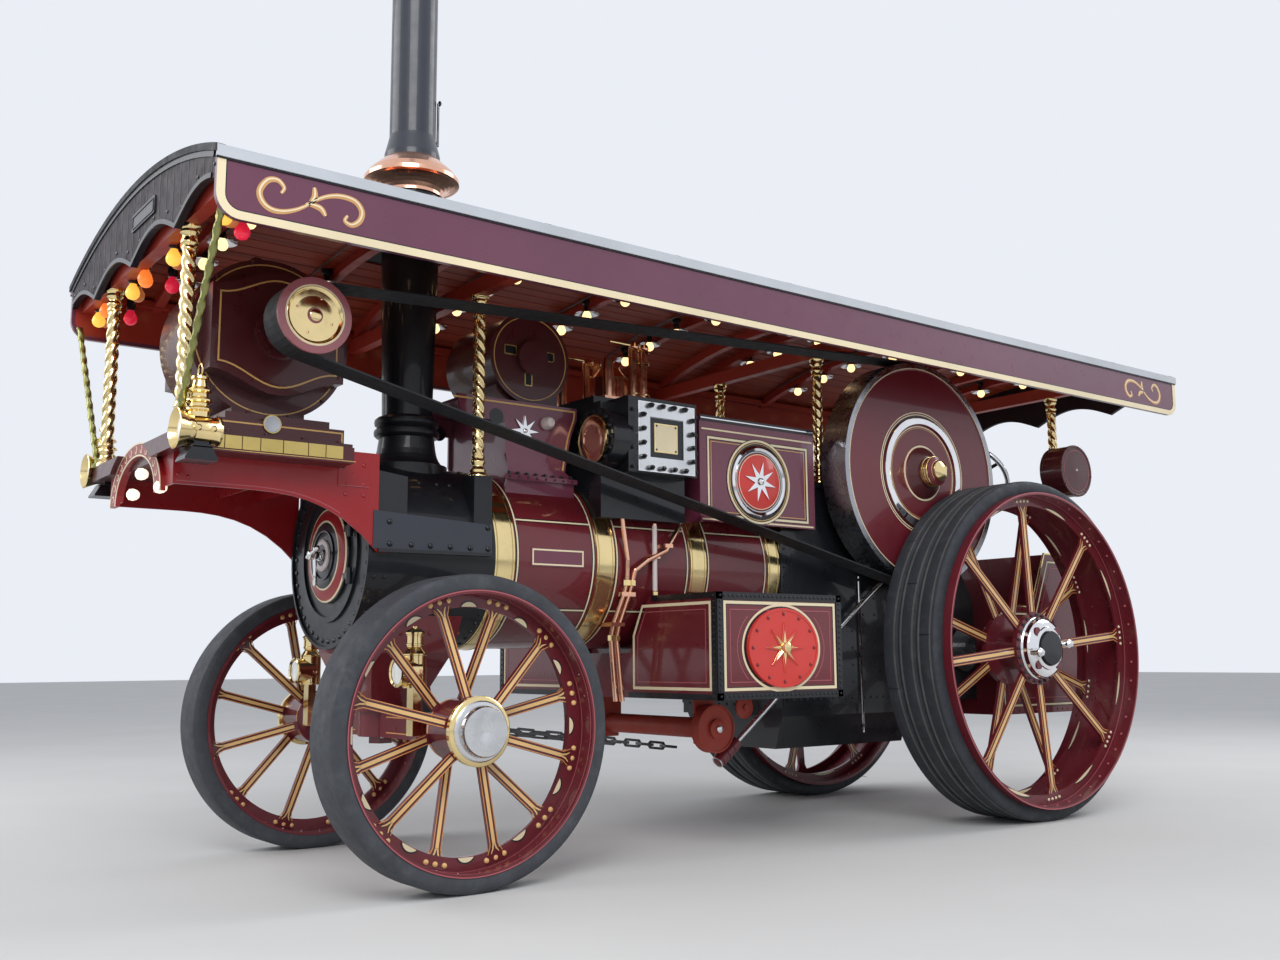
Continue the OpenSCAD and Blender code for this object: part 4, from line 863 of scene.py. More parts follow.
def rear_face(kit, wheel, turn, sign):
    """Painted spokes, rivets and half-moons on one of a rear wheel's two webs."""
    rivet, y_hub, y_web = kit(CREAM), 0.100 * sign, 0.115 * sign
    for i in range(8):
        angle = (i + turn) * 45
        outs = [y_hub + (y_web - y_hub) * (r - 0.130) / (0.925 - 0.130) + 0.0093 for r in (0.222, 0.866)]
        spoke_paint(kit, wheel, angle, (0.222, 0.866), outs, 0.026)
        for k in (-1.5, -0.5, 0.5, 1.5):
            rivet.dome(wheel.at(angle + k * 2.3, 0.900, y_web + 0.0075), wheel.out, 0.0095, 0.008, 12)
        half_moon(kit, wheel, angle + 22.5, 0.873, y_web + 0.0072, 0.120, 0.020)


def rear_wheel_dress(kit, wheel):
    """Both webs, rim and hub cap of a rear wheel."""
    rim_r, half_w = 0.945, 0.220
    rear_face(kit, wheel, 0.12, 1)
    rear_face(kit, wheel, 0.62, -1)
    rear_face(kit, Wheel(wheel.centre, -wheel.side), 0.62, 1)
    # The pink outer row of rivets and the pink lines round the rim's edge and along its inner face are painted
    # highlights where light catches the rim.
    small, pink = kit(WINE), kit(PINK)
    for i in range(48):
        for y, pen in ((-0.180, small), (-0.060, small), (0.060, small), (0.178, pink)):
            pen.dome(wheel.at(i * 7.5 + 2, rim_r - 0.0165, y), -wheel.radial(i * 7.5 + 2), 0.009, 0.006, 6)
    pink.line(wheel.circle(rim_r - 0.004, half_w), wheel.out, 0.006, closed=True)
    pink.line(wheel.circle(rim_r - 0.0162, 0.132), wheel.rays(-1), 0.004, closed=True)
    studs, chrome, black = kit(IRON, "maroon_paint"), kit(CHROME), kit(BLACK)
    for i in range(24):
        studs.nut(wheel.at(i * 15, 0.202, 0.1252), wheel.out, 0.011, 0.012)
    chrome.turned(wheel.at(0, 0, 0.126), wheel.out, [(0.188, 0), (0.188, 0.010), (0.181, 0.016), (0.178, 0.024),
                                                    (0.178, 0.044), (0.172, 0.056), (0.152, 0.066), (0.130, 0.070),
                                                    (0.126, 0.078), (0.108, 0.082)], 72, caps=False)
    black.turned(wheel.at(0, 0, 0.168), wheel.out, [(0.1068, 0), (0.1068, 0.046), (0.100, 0.0585), (0.020, 0.0605),
                                                   (0, 0.0605)], 48)
    for angle in (100, 280):
        chrome.turned(wheel.at(angle, 0.150, 0.180), wheel.out, [(0.018, 0), (0.018, 0.050), (0.026, 0.054),
                                                                (0.028, 0.068), (0.018, 0.082), (0, 0.086)], 20)


# How far the rear tyre's outer side stands back from the rim, and where its two grooves run
REAR_STEP = 0.050
GROOVES = (-0.100, 0.030)


def rubber_tyre(node, body, wheel, sides):
    """A rubber tyre with round shoulders. The rear one has three bands, and stands back on its outer side."""
    low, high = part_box(node)
    r, half = (high.z - low.z) / 2, (high.y - low.y) / 2
    rear = body.startswith("rear")
    inner = r - (0.075 if rear else 0.070)
    slope = [(inner, 0.004), (inner + 0.012, 0.0), (r - 0.026, 0.001), (r - 0.014, 0.005), (r - 0.004, 0.014),
             (r, 0.030)]
    grooves, outer = [], half
    if rear:
        outer = half - REAR_STEP
        for y in GROOVES:
            grooves += [(r, y - 0.016), (r - 0.003, y - 0.010), (r - 0.012, y - 0.006), (r - 0.012, y + 0.006),
                        (r - 0.003, y + 0.010), (r, y + 0.016)]
    profile = [(a, b - half) for a, b in slope] + grooves + [(a, outer - b) for a, b in reversed(slope)]
    tyre = Piece(node + "_rubber", body, REAR_TYRE if rear else TYRE, "tyre")
    rings = [[wheel.at(360 * i / sides, a, b * wheel.side) for i in range(sides)] for a, b in profile]
    tyre.rings(rings, closed=True)
    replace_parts(tyre.finish(30), node)


def tyre_marks(kit, wheel):
    """Dusty edges of the rear tyre's bands, and staggered joints across them."""
    cut, dust, r, half = kit(SOOT, "tyre"), kit(DUSTY), 1.0200, 0.038
    for band, centre in enumerate((-0.155, -0.035, 0.095)):
        for i in range(7):
            angle = (i + band / 3) * 360 / 7
            cut.line([wheel.at(angle, r, centre - half), wheel.at(angle, r, centre + half)], wheel.radial(angle),
                     0.005, 0.0003, lift=-0.0002)
    for y, width in [(y + d, 0.014) for y, d in grid(GROOVES, (-0.024, 0.024))] + [(0.134, 0.012)]:
        dust.line(wheel.circle(r - 0.0002, y, 144), wheel.rays(1, 144), width, 0.0004, closed=True)


def dress_wheels():
    """Paint, hub caps and tyres of the four wheels, each on its own body."""
    for end, dress in (("front", front_wheel_dress), ("rear", rear_wheel_dress)):
        for word, side in (("left", 1), ("right", -1)):
            body, tyre = f"{end}_{word}", f"{end}_tyre_{word}"
            kit = Kit(f"{end}_wheel_{word}", body)
            wheel = Wheel(middle(tyre), side)
            dress(kit, wheel)
            if end == "rear":
                tyre_marks(kit, wheel)
            kit.finish()
            rubber_tyre(tyre, body, wheel, 144)


dress_wheels()


# Chimney, smokebox and door

SMOKE_LOW, SMOKE_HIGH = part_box("smokebox")
BOILER_AT = at(0, 0, 1.48)
SMOKE_R = 0.454


def around(x, angle, r):
    """A point on the boiler's round, angle turned from straight up towards the left."""
    a = math.radians(angle)
    return Vector((x, math.sin(a) * r, BOILER_AT.z + math.cos(a) * r)), Vector((0, math.sin(a), math.cos(a)))


def smokebox_rivets(kit):
    """Rivets round the smokebox, except at its side plates, and the rings of its front."""
    pen = kit(SOOT)
    for x in (SMOKE_HIGH.x - 0.022, SMOKE_HIGH.x - 0.075, SMOKE_LOW.x + 0.025):
        for k in range(-22, 23):
            if abs(k) not in (11, 12, 13):
                pen.dome(*around(x, k * 7.6, SMOKE_R), 0.011)
    front = Vector((SMOKE_HIGH.x, 0, BOILER_AT.z))
    for place in loop(front, 0.415, 40, right=Y):
        pen.dome(place, X, 0.012)
    pen.ring(front, X, 0.30, 0.325, 0.012, 72)
    pen.ring(front, X, 0.440, 0.4535, 0.014, 72)


def side_plates(kit):
    """The long plates on the smokebox's sides with their rivets, and the ledge under them. The long arm plate
    takes the lighter blue-grey black as a painted reflection of the sky.
    """
    # bright, the lighter blue-grey black, paints the first plate: a painted reflection of the sky on its black
    # paint.
    black, stud, bright = kit(BLACK), kit(SOOT), kit(STACK)
    plates = ((bright, 0.4743, 0.4785, ((3.485, 1.478), (4.105, 1.478), (4.105, 1.652), (3.485, 1.618))),
              (black, 0.440, 0.4620, ((3.930, 1.640), (4.075, 1.640), (4.075, 1.838), (3.930, 1.820))),
              (black, 0.445, 0.489, ((3.487, 1.466), (4.082, 1.462), (4.082, 1.478), (3.487, 1.482))))
    rivets = [(x, 1.501) for x in (4.023, 3.914, 3.816, 3.711, 3.605, 3.507)] + [(4.026, 1.603), (3.509, 1.603)]
    for side in (1, -1):
        for pen, inner, outer, outline in plates:
            pen.rings([side_points(side * y, outline) for y in (inner, outer)])
        for place in side_points(side * 0.4785, rivets):
            stud.dome(place, Y * side, 0.0135, 0.011, 10)
        for x in (3.952, 3.892, 3.791, 3.695, 3.625):
            stud.dome(*around(AXLE.x + x, side * 41.4, SMOKE_R), 0.012, 0.010, 10)


def chimney_dress(kit):
    """Nuts round the chimney's foot, a bead under its cap, and a small rod above."""
    black, copper, rod = kit(SOOT), kit(COPPER), kit(IRON)
    base = Vector((CHIMNEY_X, 0, 0))
    for place in loop(base, 0.188, 12, 15, up=Y):
        black.nut(place + Z * (BOILER_AT.z + math.sqrt(SMOKE_R ** 2 - place.y ** 2) + 0.006), Z, 0.016, 0.016)
    low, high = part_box("chimney_cap")
    copper.turned(base + Z * (low.z - 0.004), Z, [(0.150, 0), (0.166, 0.004), (0.166, 0.016), (0.152, 0.020)], 64)
    rod.tube([base + Vector((-0.118, 0.055, high.z + z)) for z in (0.10, 0.34)], 0.007, 8)
    rod.dome(base + Vector((-0.121, 0.058, high.z + 0.34)), -X, 0.016, 0.012)


DOOR_AT = Vector((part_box("smokebox_door")[0].x, 0, 1.476))


def door_face(r):
    """Height of the door's dished face at radius r."""
    steps = ((0.0, 0.040), (0.060, 0.039), (0.142, 0.033), (0.198, 0.025), (0.226, 0.016), (0.232, 0.010))
    for (r0, h0), (r1, h1) in zip(steps, steps[1:]):
        if r <= r1:
            return h0 + (h1 - h0) * (r - r0) / (r1 - r0)
    return 0.010


def door():
    """Black dished door with a red, cream-lined ring, two polished handles and short hinges."""
    kit = Kit("smokebox_door", "door")
    cream, black, red, chrome = kit(CREAM, "red_paint"), kit(BLACK), kit(RED), kit(CHROME)
    black.turned(DOOR_AT, X, [(0.2315, 0.0), (0.2315, 0.010)] +
                 [(r, door_face(r) - 0.0005) for r in (0.226, 0.198, 0.170, 0.142, 0.100, 0.060, 0.020)], 96)

    def band(pen, r0, r1, lift):
        top = [(r, door_face(r) + lift) for r in spread(r1, r0, 4)]
        pen.turned(DOOR_AT, X, [(r1, door_face(r1) - 0.001)] + top + [(r0, door_face(r0) - 0.001)], 96,
                   caps=False)
    band(red, 0.160, 0.226, 0.0010)
    band(cream, 0.2180, 0.2265, 0.0022)
    band(cream, 0.1595, 0.1680, 0.0022)
    black.ring(DOOR_AT + X * 0.035, X, 0.112, 0.120, 0.006, 64)
    pale = kit(WHITE_PAINT, "red_paint")
    pale.turned(DOOR_AT + X * 0.037, X, [(0.078, 0), (0.077, 0.008), (0.066, 0.011), (0.052, 0.010),
                                         (0.050, 0.004)], 48, caps=False)
    black.turned(DOOR_AT + X * 0.037, X, [(0.0515, 0), (0.0515, 0.006), (0.030, 0.009)], 40)
    chrome.turned(DOOR_AT + X * 0.043, X, [(0.030, 0), (0.028, 0.016), (0.020, 0.020), (0.018, 0.064)], 32)
    for direction, reach, out in ((-Z + Y * 0.06, 0.150, 0.078), (Y * 0.95 + Z * 0.30, 0.100, 0.102)):
        along = direction.normalized()
        hub = DOOR_AT + X * out
        chrome.tube([hub - along * 0.034, hub, hub + along * reach * 0.5, hub + along * reach * 0.94,
                     hub + along * reach], [0.010, 0.012, 0.0085, 0.0115, 0.006], 14)
        chrome.turned(hub - X * 0.010, X, [(0.023, 0), (0.023, 0.016), (0.015, 0.021)], 24)
    for z in (-0.110, 0.110):
        black.rings([[DOOR_AT + Vector((h, y, z + d)) for d, h in ((-0.017, base), (0.017, base), (0.013, top),
                                                                   (-0.013, top))]
                     for y, base, top in ((0.200, 0.010, 0.024), (0.222, 0.009, 0.027), (0.268, 0.006, 0.030))])
        black.turned(DOOR_AT + Vector((0.0195, 0.262, z - 0.036)), Z, [(0.010, -0.004), (0.014, 0), (0.014, 0.072),
                                                                      (0.010, 0.076)], 16)
    for piece in kit.finish():
        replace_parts(piece, "smokebox_door")


def dress_smokebox():
    """Smokebox, chimney and door."""
    kit = Kit("smokebox")
    for dress in (smokebox_rivets, side_plates, chimney_dress):
        dress(kit)
    kit.finish()
    door()


dress_smokebox()


# Dynamo, its platform and bracket

SHAFT = Vector((middle("dynamo_pulley").x, 0, 2.438))
# How far from the middle the ring's ends and the end panels stand
RING_FACE, PANEL_FACE = 0.210, 0.320


def panel_loop(inset):
    """The shaped outline of the dynamo's end panels, drawn inside their edge."""
    half = 0.31 - inset
    return [(start + 2 * half * t * sign, base + sign * 0.09 * math.sin(math.pi * t) ** 2)
            for start, base, sign in ((half, -0.19 + inset, -1), (-half, 0.195 - inset, 1))
            for t in spread(0, 1, 16)]


def dynamo_dress(kit):
    """Lining, nuts and studs of the dynamo's two ends, and the lifting eye on top."""
    gold, dark = kit(GOLD), kit(DYNAMO)
    for side in (1, -1):
        out = Y * side
        face, ring_face = SHAFT + out * PANEL_FACE, SHAFT + out * RING_FACE
        gold.line([face + X * a + Z * b for a, b in panel_loop(0.036)], out, 0.0075, closed=True)
        gold.line(loop(ring_face, 0.350, 72), out, 0.006, closed=True)
        for place in loop(ring_face, 0.363, 12, 15):
            dark.nut(place, out, 0.011, 0.010)
        dark.ring(face, out, 0.080, 0.118, 0.014, 40, 0.004)
        for place in loop(face + out * 0.016, 0.099, 6):
            dark.nut(place, out, 0.009, 0.008)
        for x, z in grid((-0.285, 0.285), (-0.165, 0.0, 0.165)):
            dark.dome(face + X * x + Z * z, out, 0.007)
    dark.tube(loop(SHAFT + Z * 0.405, 0.035, 18), 0.010, 8, closed=True)
    dark.turned(SHAFT + Z * 0.370, Z, [(0.030, 0), (0.030, 0.008), (0.016, 0.014)], 20)


def brush_gear(kit):
    """Copper brushes and their leads on the free end of the dynamo."""
    copper, brass, black = kit(COPPER), kit(BRASS), kit(BLACK)
    end = SHAFT - Y * 0.38
    copper.turned(end, -Y, [(0.062, 0), (0.062, 0.055), (0.040, 0.060), (0.030, 0.085), (0, 0.088)], 36)
    for arm in loop(Vector(), 1, 4, 45):
        brass.tube([end + arm * 0.066 - Y * 0.03, end + arm * 0.125 - Y * 0.03], 0.011, 8)
        brass.turned(end + arm * 0.125 - Y * 0.055, Y, [(0.010, 0), (0.010, 0.05)], 12)
    for x in (-0.20, 0.20):
        lead = ((x * 0.5, -0.03, 0.05), (x * 0.8, -0.06, -0.10), (x, 0.02, -0.26), (x, 0.10, -0.40))
        black.tube(smooth_path([end + Vector(p) for p in lead], 6), 0.010, 8)


def pulley_dress():
    """Painted rim, cream line and brass middle of the dynamo's pulley."""
    kit = Kit("pulley", "dynamo_rotor")
    face = Vector((SHAFT.x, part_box("dynamo_pulley")[1].y - 0.006, SHAFT.z))
    kit(PINK_MAROON).turned(face - Y * 0.002, Y, [(0.131, 0), (0.166, 0), (0.1662, 0.0025), (0.160, 0.0040),
                                                  (0.1325, 0.0040)], 72, caps=False)
    kit(CREAM).ring(face, Y, 0.126, 0.134, 0.0035, 72)
    kit(BRASS).turned(face - Y * 0.012, Y, [(0.1285, 0.004), (0.1285, 0.0145), (0.1245, 0.0165), (0.1195, 0.0130),
                                            (0.1120, 0.0040), (0.0950, 0.0028), (0.0700, 0.0062), (0.0450, 0.0095),
                                            (0.0280, 0.0100), (0.0260, 0.0180), (0.0200, 0.0205), (0, 0.0208)], 72)
    for place in loop(face - Y * 0.0075, 0.083, 4, 20):
        kit(COPPER).dome(place, Y, 0.006, 0.004)
    kit.finish()


# Blank plates along the platform's edge: front edge of each, counted from the rear axle
PLATE_EDGES = (4.322, 4.403, 4.482, 4.593, 4.691, 4.769, 4.842, 4.920, 5.000)


def platform_dress(kit):
    """Blank plates, lining and nuts of the dynamo's platform and base, and a round badge without a design."""
    plate, gold, dark, grey = kit(OLD_BRASS), kit(GOLD), kit(DYNAMO), kit(EDGE_GREY)
    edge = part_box("dynamo_platform")[1].y
    for side in (1, -1):
        out = Y * side
        for a, b in zip(PLATE_EDGES, PLATE_EDGES[1:]):
            plate.block(at(a + 0.002, side * edge, 1.845), at(b - 0.002, side * (edge + 0.004), 1.900))
        gold.line(side_points(side * 0.3802, ((4.787, 1.962), (4.787, 2.004), (4.225, 2.004), (4.225, 1.962))),
                  out, 0.007)
        for x in (4.24, 4.41, 4.58, 4.75):
            dark.nut(at(x, side * 0.390, 1.9545), Z, 0.009, 0.010)
        gold.line(side_points(side * 0.6202, ((4.262, 1.8385), (5.045, 1.8385))), out, 0.003)
    badge = at(4.556, 0.381, 2.010)
    grey.turned(badge, Y, [(0.040, 0), (0.040, 0.008), (0.034, 0.011), (0.030, 0.008)], 40)
    plate.ring(badge + Y * 0.004, Y, 0.037, 0.041, 0.006, 40)


# Rivets on each side of the dynamo's bracket: x from the rear axle, z
BRACKET_RIVETS = ((4.979, 1.739), (4.938, 1.734), (4.979, 1.805), (4.938, 1.798), (4.244, 1.762), (4.155, 1.762),
                  (4.243, 1.713), (4.154, 1.713), (4.155, 1.850), (4.244, 1.850))


def bracket_dress(kit):
    """Rivets and lining of the dynamo's bracket, a painted highlight along its foot, the painted arch on its
    front, and three bulbs.
    """
    red, fine, bulb = kit(RED), kit(PINK, "red_paint"), kit(WHITE_BULB)
    for side in (1, -1):
        y, raised, out = side * 0.4742, side * 0.4782, Y * side
        for place in side_points(y, BRACKET_RIVETS):
            red.dome(place, out, 0.010)
        red.block(at(4.130, y, 1.752), at(4.280, raised, 1.828))
        # The pink line along the foot's curve is a painted highlight: the sky's reflection where the bracket's
        # lower edge flares out.
        foot = [(x, 1.716 - 0.84 * max(0.0, 4.740 - x) ** 3) for x in spread(4.985, 4.265, 16)]
        fine.line(side_points(y, foot), out, 0.0035)
        fine.line(side_points(y, ((4.990, 1.797), (4.880, 1.790))), out, 0.003)
        fine.line(side_points(raised, ((4.132, 1.752), (4.278, 1.752))), out, 0.003)
    front = at(5.0205, 0, 1.682)
    ground, cream = kit(ARCH), kit(CREAM, "red_paint")

    def bow(half, rise, lift=0.0):
        return [front + Y * half * math.cos(a) + Z * rise * math.sin(a) + X * lift for a in spread(0, math.pi, 40)]
    ground.rings([[a, b, b + X * 0.002, a + X * 0.002] for a, b in zip(bow(0.308, 0.198), bow(0.377, 0.242))])
    for path in (bow(0.3035, 0.1935), bow(0.3815, 0.2465)):
        cream.line(path, X, 0.007, 0.003)
    scrolls = bow(0.3425, 0.220, 0.002)
    for a, b in zip(scrolls[2:39:3], scrolls[3:40:3]):
        along = (b - a).normalized()
        turn = [a + along * 0.013 * math.cos(t) + X.cross(along) * 0.016 * math.sin(t) for t in spread(0, 4.8, 8)]
        cream.stroke(turn, X, [0.002 + 0.004 * math.sin(t) for t in spread(0, math.pi, 8)])
    for y, z in ((0.063, 1.789), (-0.057, 1.711), (0.347, 1.699)):
        bulb.turned(at(4.985, y, z), X, [(0.013, 0), (0.022, 0.010), (0.027, 0.026), (0.024, 0.042),
                                         (0.011, 0.051)], 20)


def lamp(kit, centre, side):
    """A brass lamp: bell mouth with a pale lens, ribbed chimney, on a black foot."""
    brass, black, lens = kit(BRASS), kit(BLACK), kit(LENS)
    rear, mouth = centre - X * 0.078, centre + X * 0.103
    brass.turned(rear, X, [(0.030, -0.004), (0.044, 0.0), (0.058, 0.006), (0.062, 0.016), (0.056, 0.026),
                           (0.054, 0.110), (0.060, 0.118), (0.060, 0.126), (0.066, 0.140), (0.080, 0.172),
                           (0.084, 0.181), (0.080, 0.183), (0.064, 0.150), (0.058, 0.142)], 48)
    lens.turned(mouth - X * 0.036, X, [(0.066, 0), (0.066, 0.004), (0.048, 0.014), (0.022, 0.020), (0, 0.022)], 36)
    top = centre + Z * 0.050 + X * 0.012
    brass.turned(top, Z, [(0.042, 0), (0.042, 0.020), (0.050, 0.028), (0.050, 0.034), (0.036, 0.044),
                          (0.036, 0.056), (0.052, 0.064), (0.052, 0.070), (0.034, 0.082), (0.034, 0.096),
                          (0.048, 0.104), (0.048, 0.110), (0.030, 0.124), (0.026, 0.150), (0.036, 0.156),
                          (0.034, 0.166), (0, 0.174)], 36)
    brass.tube(loop(top + Z * 0.194, 0.026, 15, right=Y), 0.004, 6, closed=True)
    for x in (-0.03, 0.03):
        brass.turned(centre + X * x + Y * side * 0.052, Y * side, [(0.014, 0), (0.014, 0.014), (0.008, 0.020)], 16)
    foot = at(4.970, side * 0.681, 1.767)
    black.rings([[foot + X * a * k + Y * b * 0.061 + Z * z for a, b in ((-1, -1), (1, -1), (1, 1), (-1, 1))]
                 for k, z in ((0.066, 0.0), (0.066, 0.008), (0.042, 0.050), (0.040, 0.056))])
    black.block(at(4.928, side * 0.570, 1.818), at(5.006, side * 0.742, 1.8297))
    black.block(at(4.938, side * 0.674, 1.828), at(4.998, side * 0.726, 1.850))


def dress_dynamo():
    """Dynamo with its platform, bracket, pulley and the two front lamps."""
    kit = Kit("dynamo")
    for dress in (dynamo_dress, brush_gear, platform_dress, bracket_dress):
        dress(kit)
    kit.finish()
    pulley_dress()
    lamps = Kit("front_lamp")
    for side in (1, -1):
        lamp(lamps, at(4.965, side * 0.700, 1.892), side)
    for piece in lamps.finish():
        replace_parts(piece, "front_lamps")


dress_dynamo()


# Cylinder, exciter, motion and barrel

BARREL_R = 0.450


def outline_box(x0, z0, x1, z1, face):
    """Corners of a rectangle on a side face, x counted from the rear axle."""
    return side_points(face, ((x0, z0), (x1, z0), (x1, z1), (x0, z1)))


def cylinder_dress(kit):
    """Copper end covers, and the covers of the valve chests with their nuts and blank plates."""
    black, copper, brass, cream, white = kit(BLACK), kit(COPPER), kit(BRASS), kit(CREAM), kit(CHROME)
    for side in (1, -1):
        out, chest, plate = Y * side, side * 0.620, side * 0.612
        centre = at(2.856, side * 0.455, 2.107)
        for place in loop(centre, 0.150, 16, right=Y):
            black.nut(place, X, 0.0125, 0.017)
        brass.ring(centre + X * 0.011, X, 0.119, 0.129, 0.009, 56, 0.003)
        copper.turned(centre + X * 0.010, X, [(0.119, 0), (0.119, 0.010), (0.106, 0.016), (0.070, 0.018),
                                              (0.066, 0.014), (0.014, 0.013), (0, 0.013)], 56)
        for along in (0.20, 0.40, 0.60, 0.80):
            for x, z in grid([2.32 + 0.38 * along], (1.957, 2.287)) + grid((2.344, 2.676), [1.937 + 0.37 * along]):
                black.nut(at(x, chest, z), out, 0.0145, 0.026)
        black.block(at(2.399, side * 0.606, 2.017), at(2.621, side * 0.6085, 2.227))
        cream.block(at(2.432, side * 0.608, 2.045), at(2.588, plate, 2.200))
        brass.line(outline_box(2.436, 2.049, 2.584, 2.196, plate), out, 0.006, closed=True)
        for x, z in grid((2.446, 2.574), (2.059, 2.186)):
            black.dome(at(x, plate, z), out, 0.006)
        white.line(outline_box(2.323, 1.940, 2.697, 2.304, chest), out, 0.005, closed=True)
        for x, z in grid((2.30, 2.725), (1.96, 2.06, 2.16, 2.26)):
            black.nut(at(x, side * 0.600, z), out, 0.011, 0.012)


def fittings_dress(kit):
    """Collars and caps on the safety valves, whistles and dome on the cylinder."""
    copper, brass = kit(COPPER), kit(BRASS)
    low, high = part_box("steam_fittings")
    dome = Vector((low.x + 0.100, 0, low.z))
    for r, z in ((0.114, 0.035), (0.113, 0.176)):
        brass.ring(dome + Z * z, Z, r - 0.005, r + 0.004, 0.012, 48, 0.003)
    brass.turned(dome + Z * 0.248, Z, [(0.060, 0), (0.060, 0.012), (0.032, 0.020), (0.020, 0.040), (0.028, 0.052),
                                       (0.018, 0.064), (0, 0.066)], 32)
    for y in (-0.230, 0.230):
        for x in (low.x + 0.030, low.x + 0.100):
            base = Vector((x, y, low.z))
            for z in (0.06, 0.24, 0.31):
                brass.turned(base + Z * z, Z, [(0.025, 0), (0.031, 0.004), (0.031, 0.012), (0.025, 0.016)], 24,
                             caps=False)
            copper.turned(base + Z * 0.328, Z, [(0.024, 0), (0.029, 0.010), (0.022, 0.030), (0, 0.036)], 24)
        brass.tube([Vector((low.x + 0.03, y, low.z + 0.345)),
                    Vector(((low.x + high.x) / 2 + 0.10, y * 0.98, low.z + 0.35))], 0.008, 8)


def exciter_dress(kit):
    """Windows and lining of the exciter, the windows drawn as black panes of painted shade, and the lining, hole,
    star, lamp and nuts of its bracket, the hole drawn as a black disc of painted shade.
    """
    brass, gold, black, silver, white = kit(OLD_BRASS), kit(GOLD), kit(BLACK), kit(CHROME), kit(WHITE_PAINT)
    for side in (1, -1):
        out, plate = Y * side, side * 0.304
        face = 0.2205 if side > 0 else -0.2505
        for x, z, w, h in ((3.234, 2.579, 0.070, 0.047), (3.000, 2.572, 0.070, 0.047),
                           (3.123, 2.440, 0.042, 0.078)):
            place, window = at(x, face, z), round_box(-w / 2, -h / 2, w / 2, h / 2, 0.006)
            # Each window is a thin black pane: painted shade for the dark inside.
            black.slab(place, out, window, 0.001)
            brass.line([place + axes(out)[0] * a + Z * b for a, b in window], out, 0.006, 0.003, closed=True)
        gold.line(loop(at(3.110, face, 2.547), 0.222, 60), out, 0.005, closed=True)
        edge = side_points(plate, ((2.886, 2.272), (2.893, 2.225), (2.928, 2.128), (2.951, 2.012), (2.960, 1.950)))
        gold.line([at(3.612, plate, 2.272)] + smooth_path(edge, 4), out, 0.009)
        # The hole is a thin black disc: painted shade, not an opening.
        black.turned(at(3.364, plate, 2.197), out, [(0.041, 0), (0.041, 0.0012), (0, 0.0012)], 32)
        place = at(3.197, plate, 2.137)
        silver.slab(place, out, star(0.082, 0.028, 8), 0.009)
        silver.dome(place + out * 0.009, out, 0.013, 0.010, 16)
        white.turned(at(3.064, plate, 2.191), out, [(0.034, 0), (0.034, 0.030), (0.022, 0.050), (0, 0.054)], 24)
        for x in spread(2.915, 3.293, 7):
            black.nut(at(x, side * 0.3155, 1.9055), Z, 0.011, 0.012)
            black.dome(at(x, side * 0.3245, 1.893), out, 0.007)


def motion_dress(kit):
    """Lining and the starred medallion on each motion side panel."""
    gold, fine, grey, red = kit(CREAM), kit(GOLD), kit(EDGE_GREY, "maroon_paint"), kit(SCARLET)
    chrome, black = kit(CHROME), kit(BLACK)
    for side in (1, -1):
        face, rail, out = side * 0.529, side * 0.534, Y * side
        for pen, inset, width, height in ((black, 0, 0.022, 0.0008), (gold, 0, 0.0125, 0.0012),
                                          (fine, 0.020, 0.004, 0.0012)):
            pen.line(outline_box(1.392 + inset, 1.752 + inset, 2.148 - inset, 2.182 - inset, face), out, width,
                     height, closed=True)
        for z in (2.228, 1.727):
            gold.line([at(1.345, face, z), at(2.195, face, z)], out, 0.009)
        black.block(at(1.332, face, 2.272), at(2.208, rail, 2.304))
        chrome.line([at(1.335, rail, 2.288), at(2.205, rail, 2.288)], out, 0.006, 0.003)
        centre = at(1.774, face, 1.961)
        black.ring(centre, out, 0.160, 0.244, 0.0022, 96)
        gold.ring(centre, out, 0.228, 0.240, 0.0045, 96)
        fine.ring(centre, out, 0.218, 0.222, 0.0045, 96)
        chrome.turned(centre, out, [(0.176, 0), (0.178, 0.008), (0.192, 0.015), (0.206, 0.008), (0.208, 0)], 96,
                      caps=False)
        grey.ring(centre, out, 0.168, 0.174, 0.006, 96)
        red.turned(centre, out, [(0.162, 0), (0.162, 0.005), (0.158, 0.007)], 72)
        gold.ring(centre, out, 0.154, 0.158, 0.0078, 72)
        chrome.slab(centre, out, star(0.118, 0.040, 8, 78), 0.016)
        chrome.dome(centre + out * 0.016, out, 0.022, 0.016, 20)


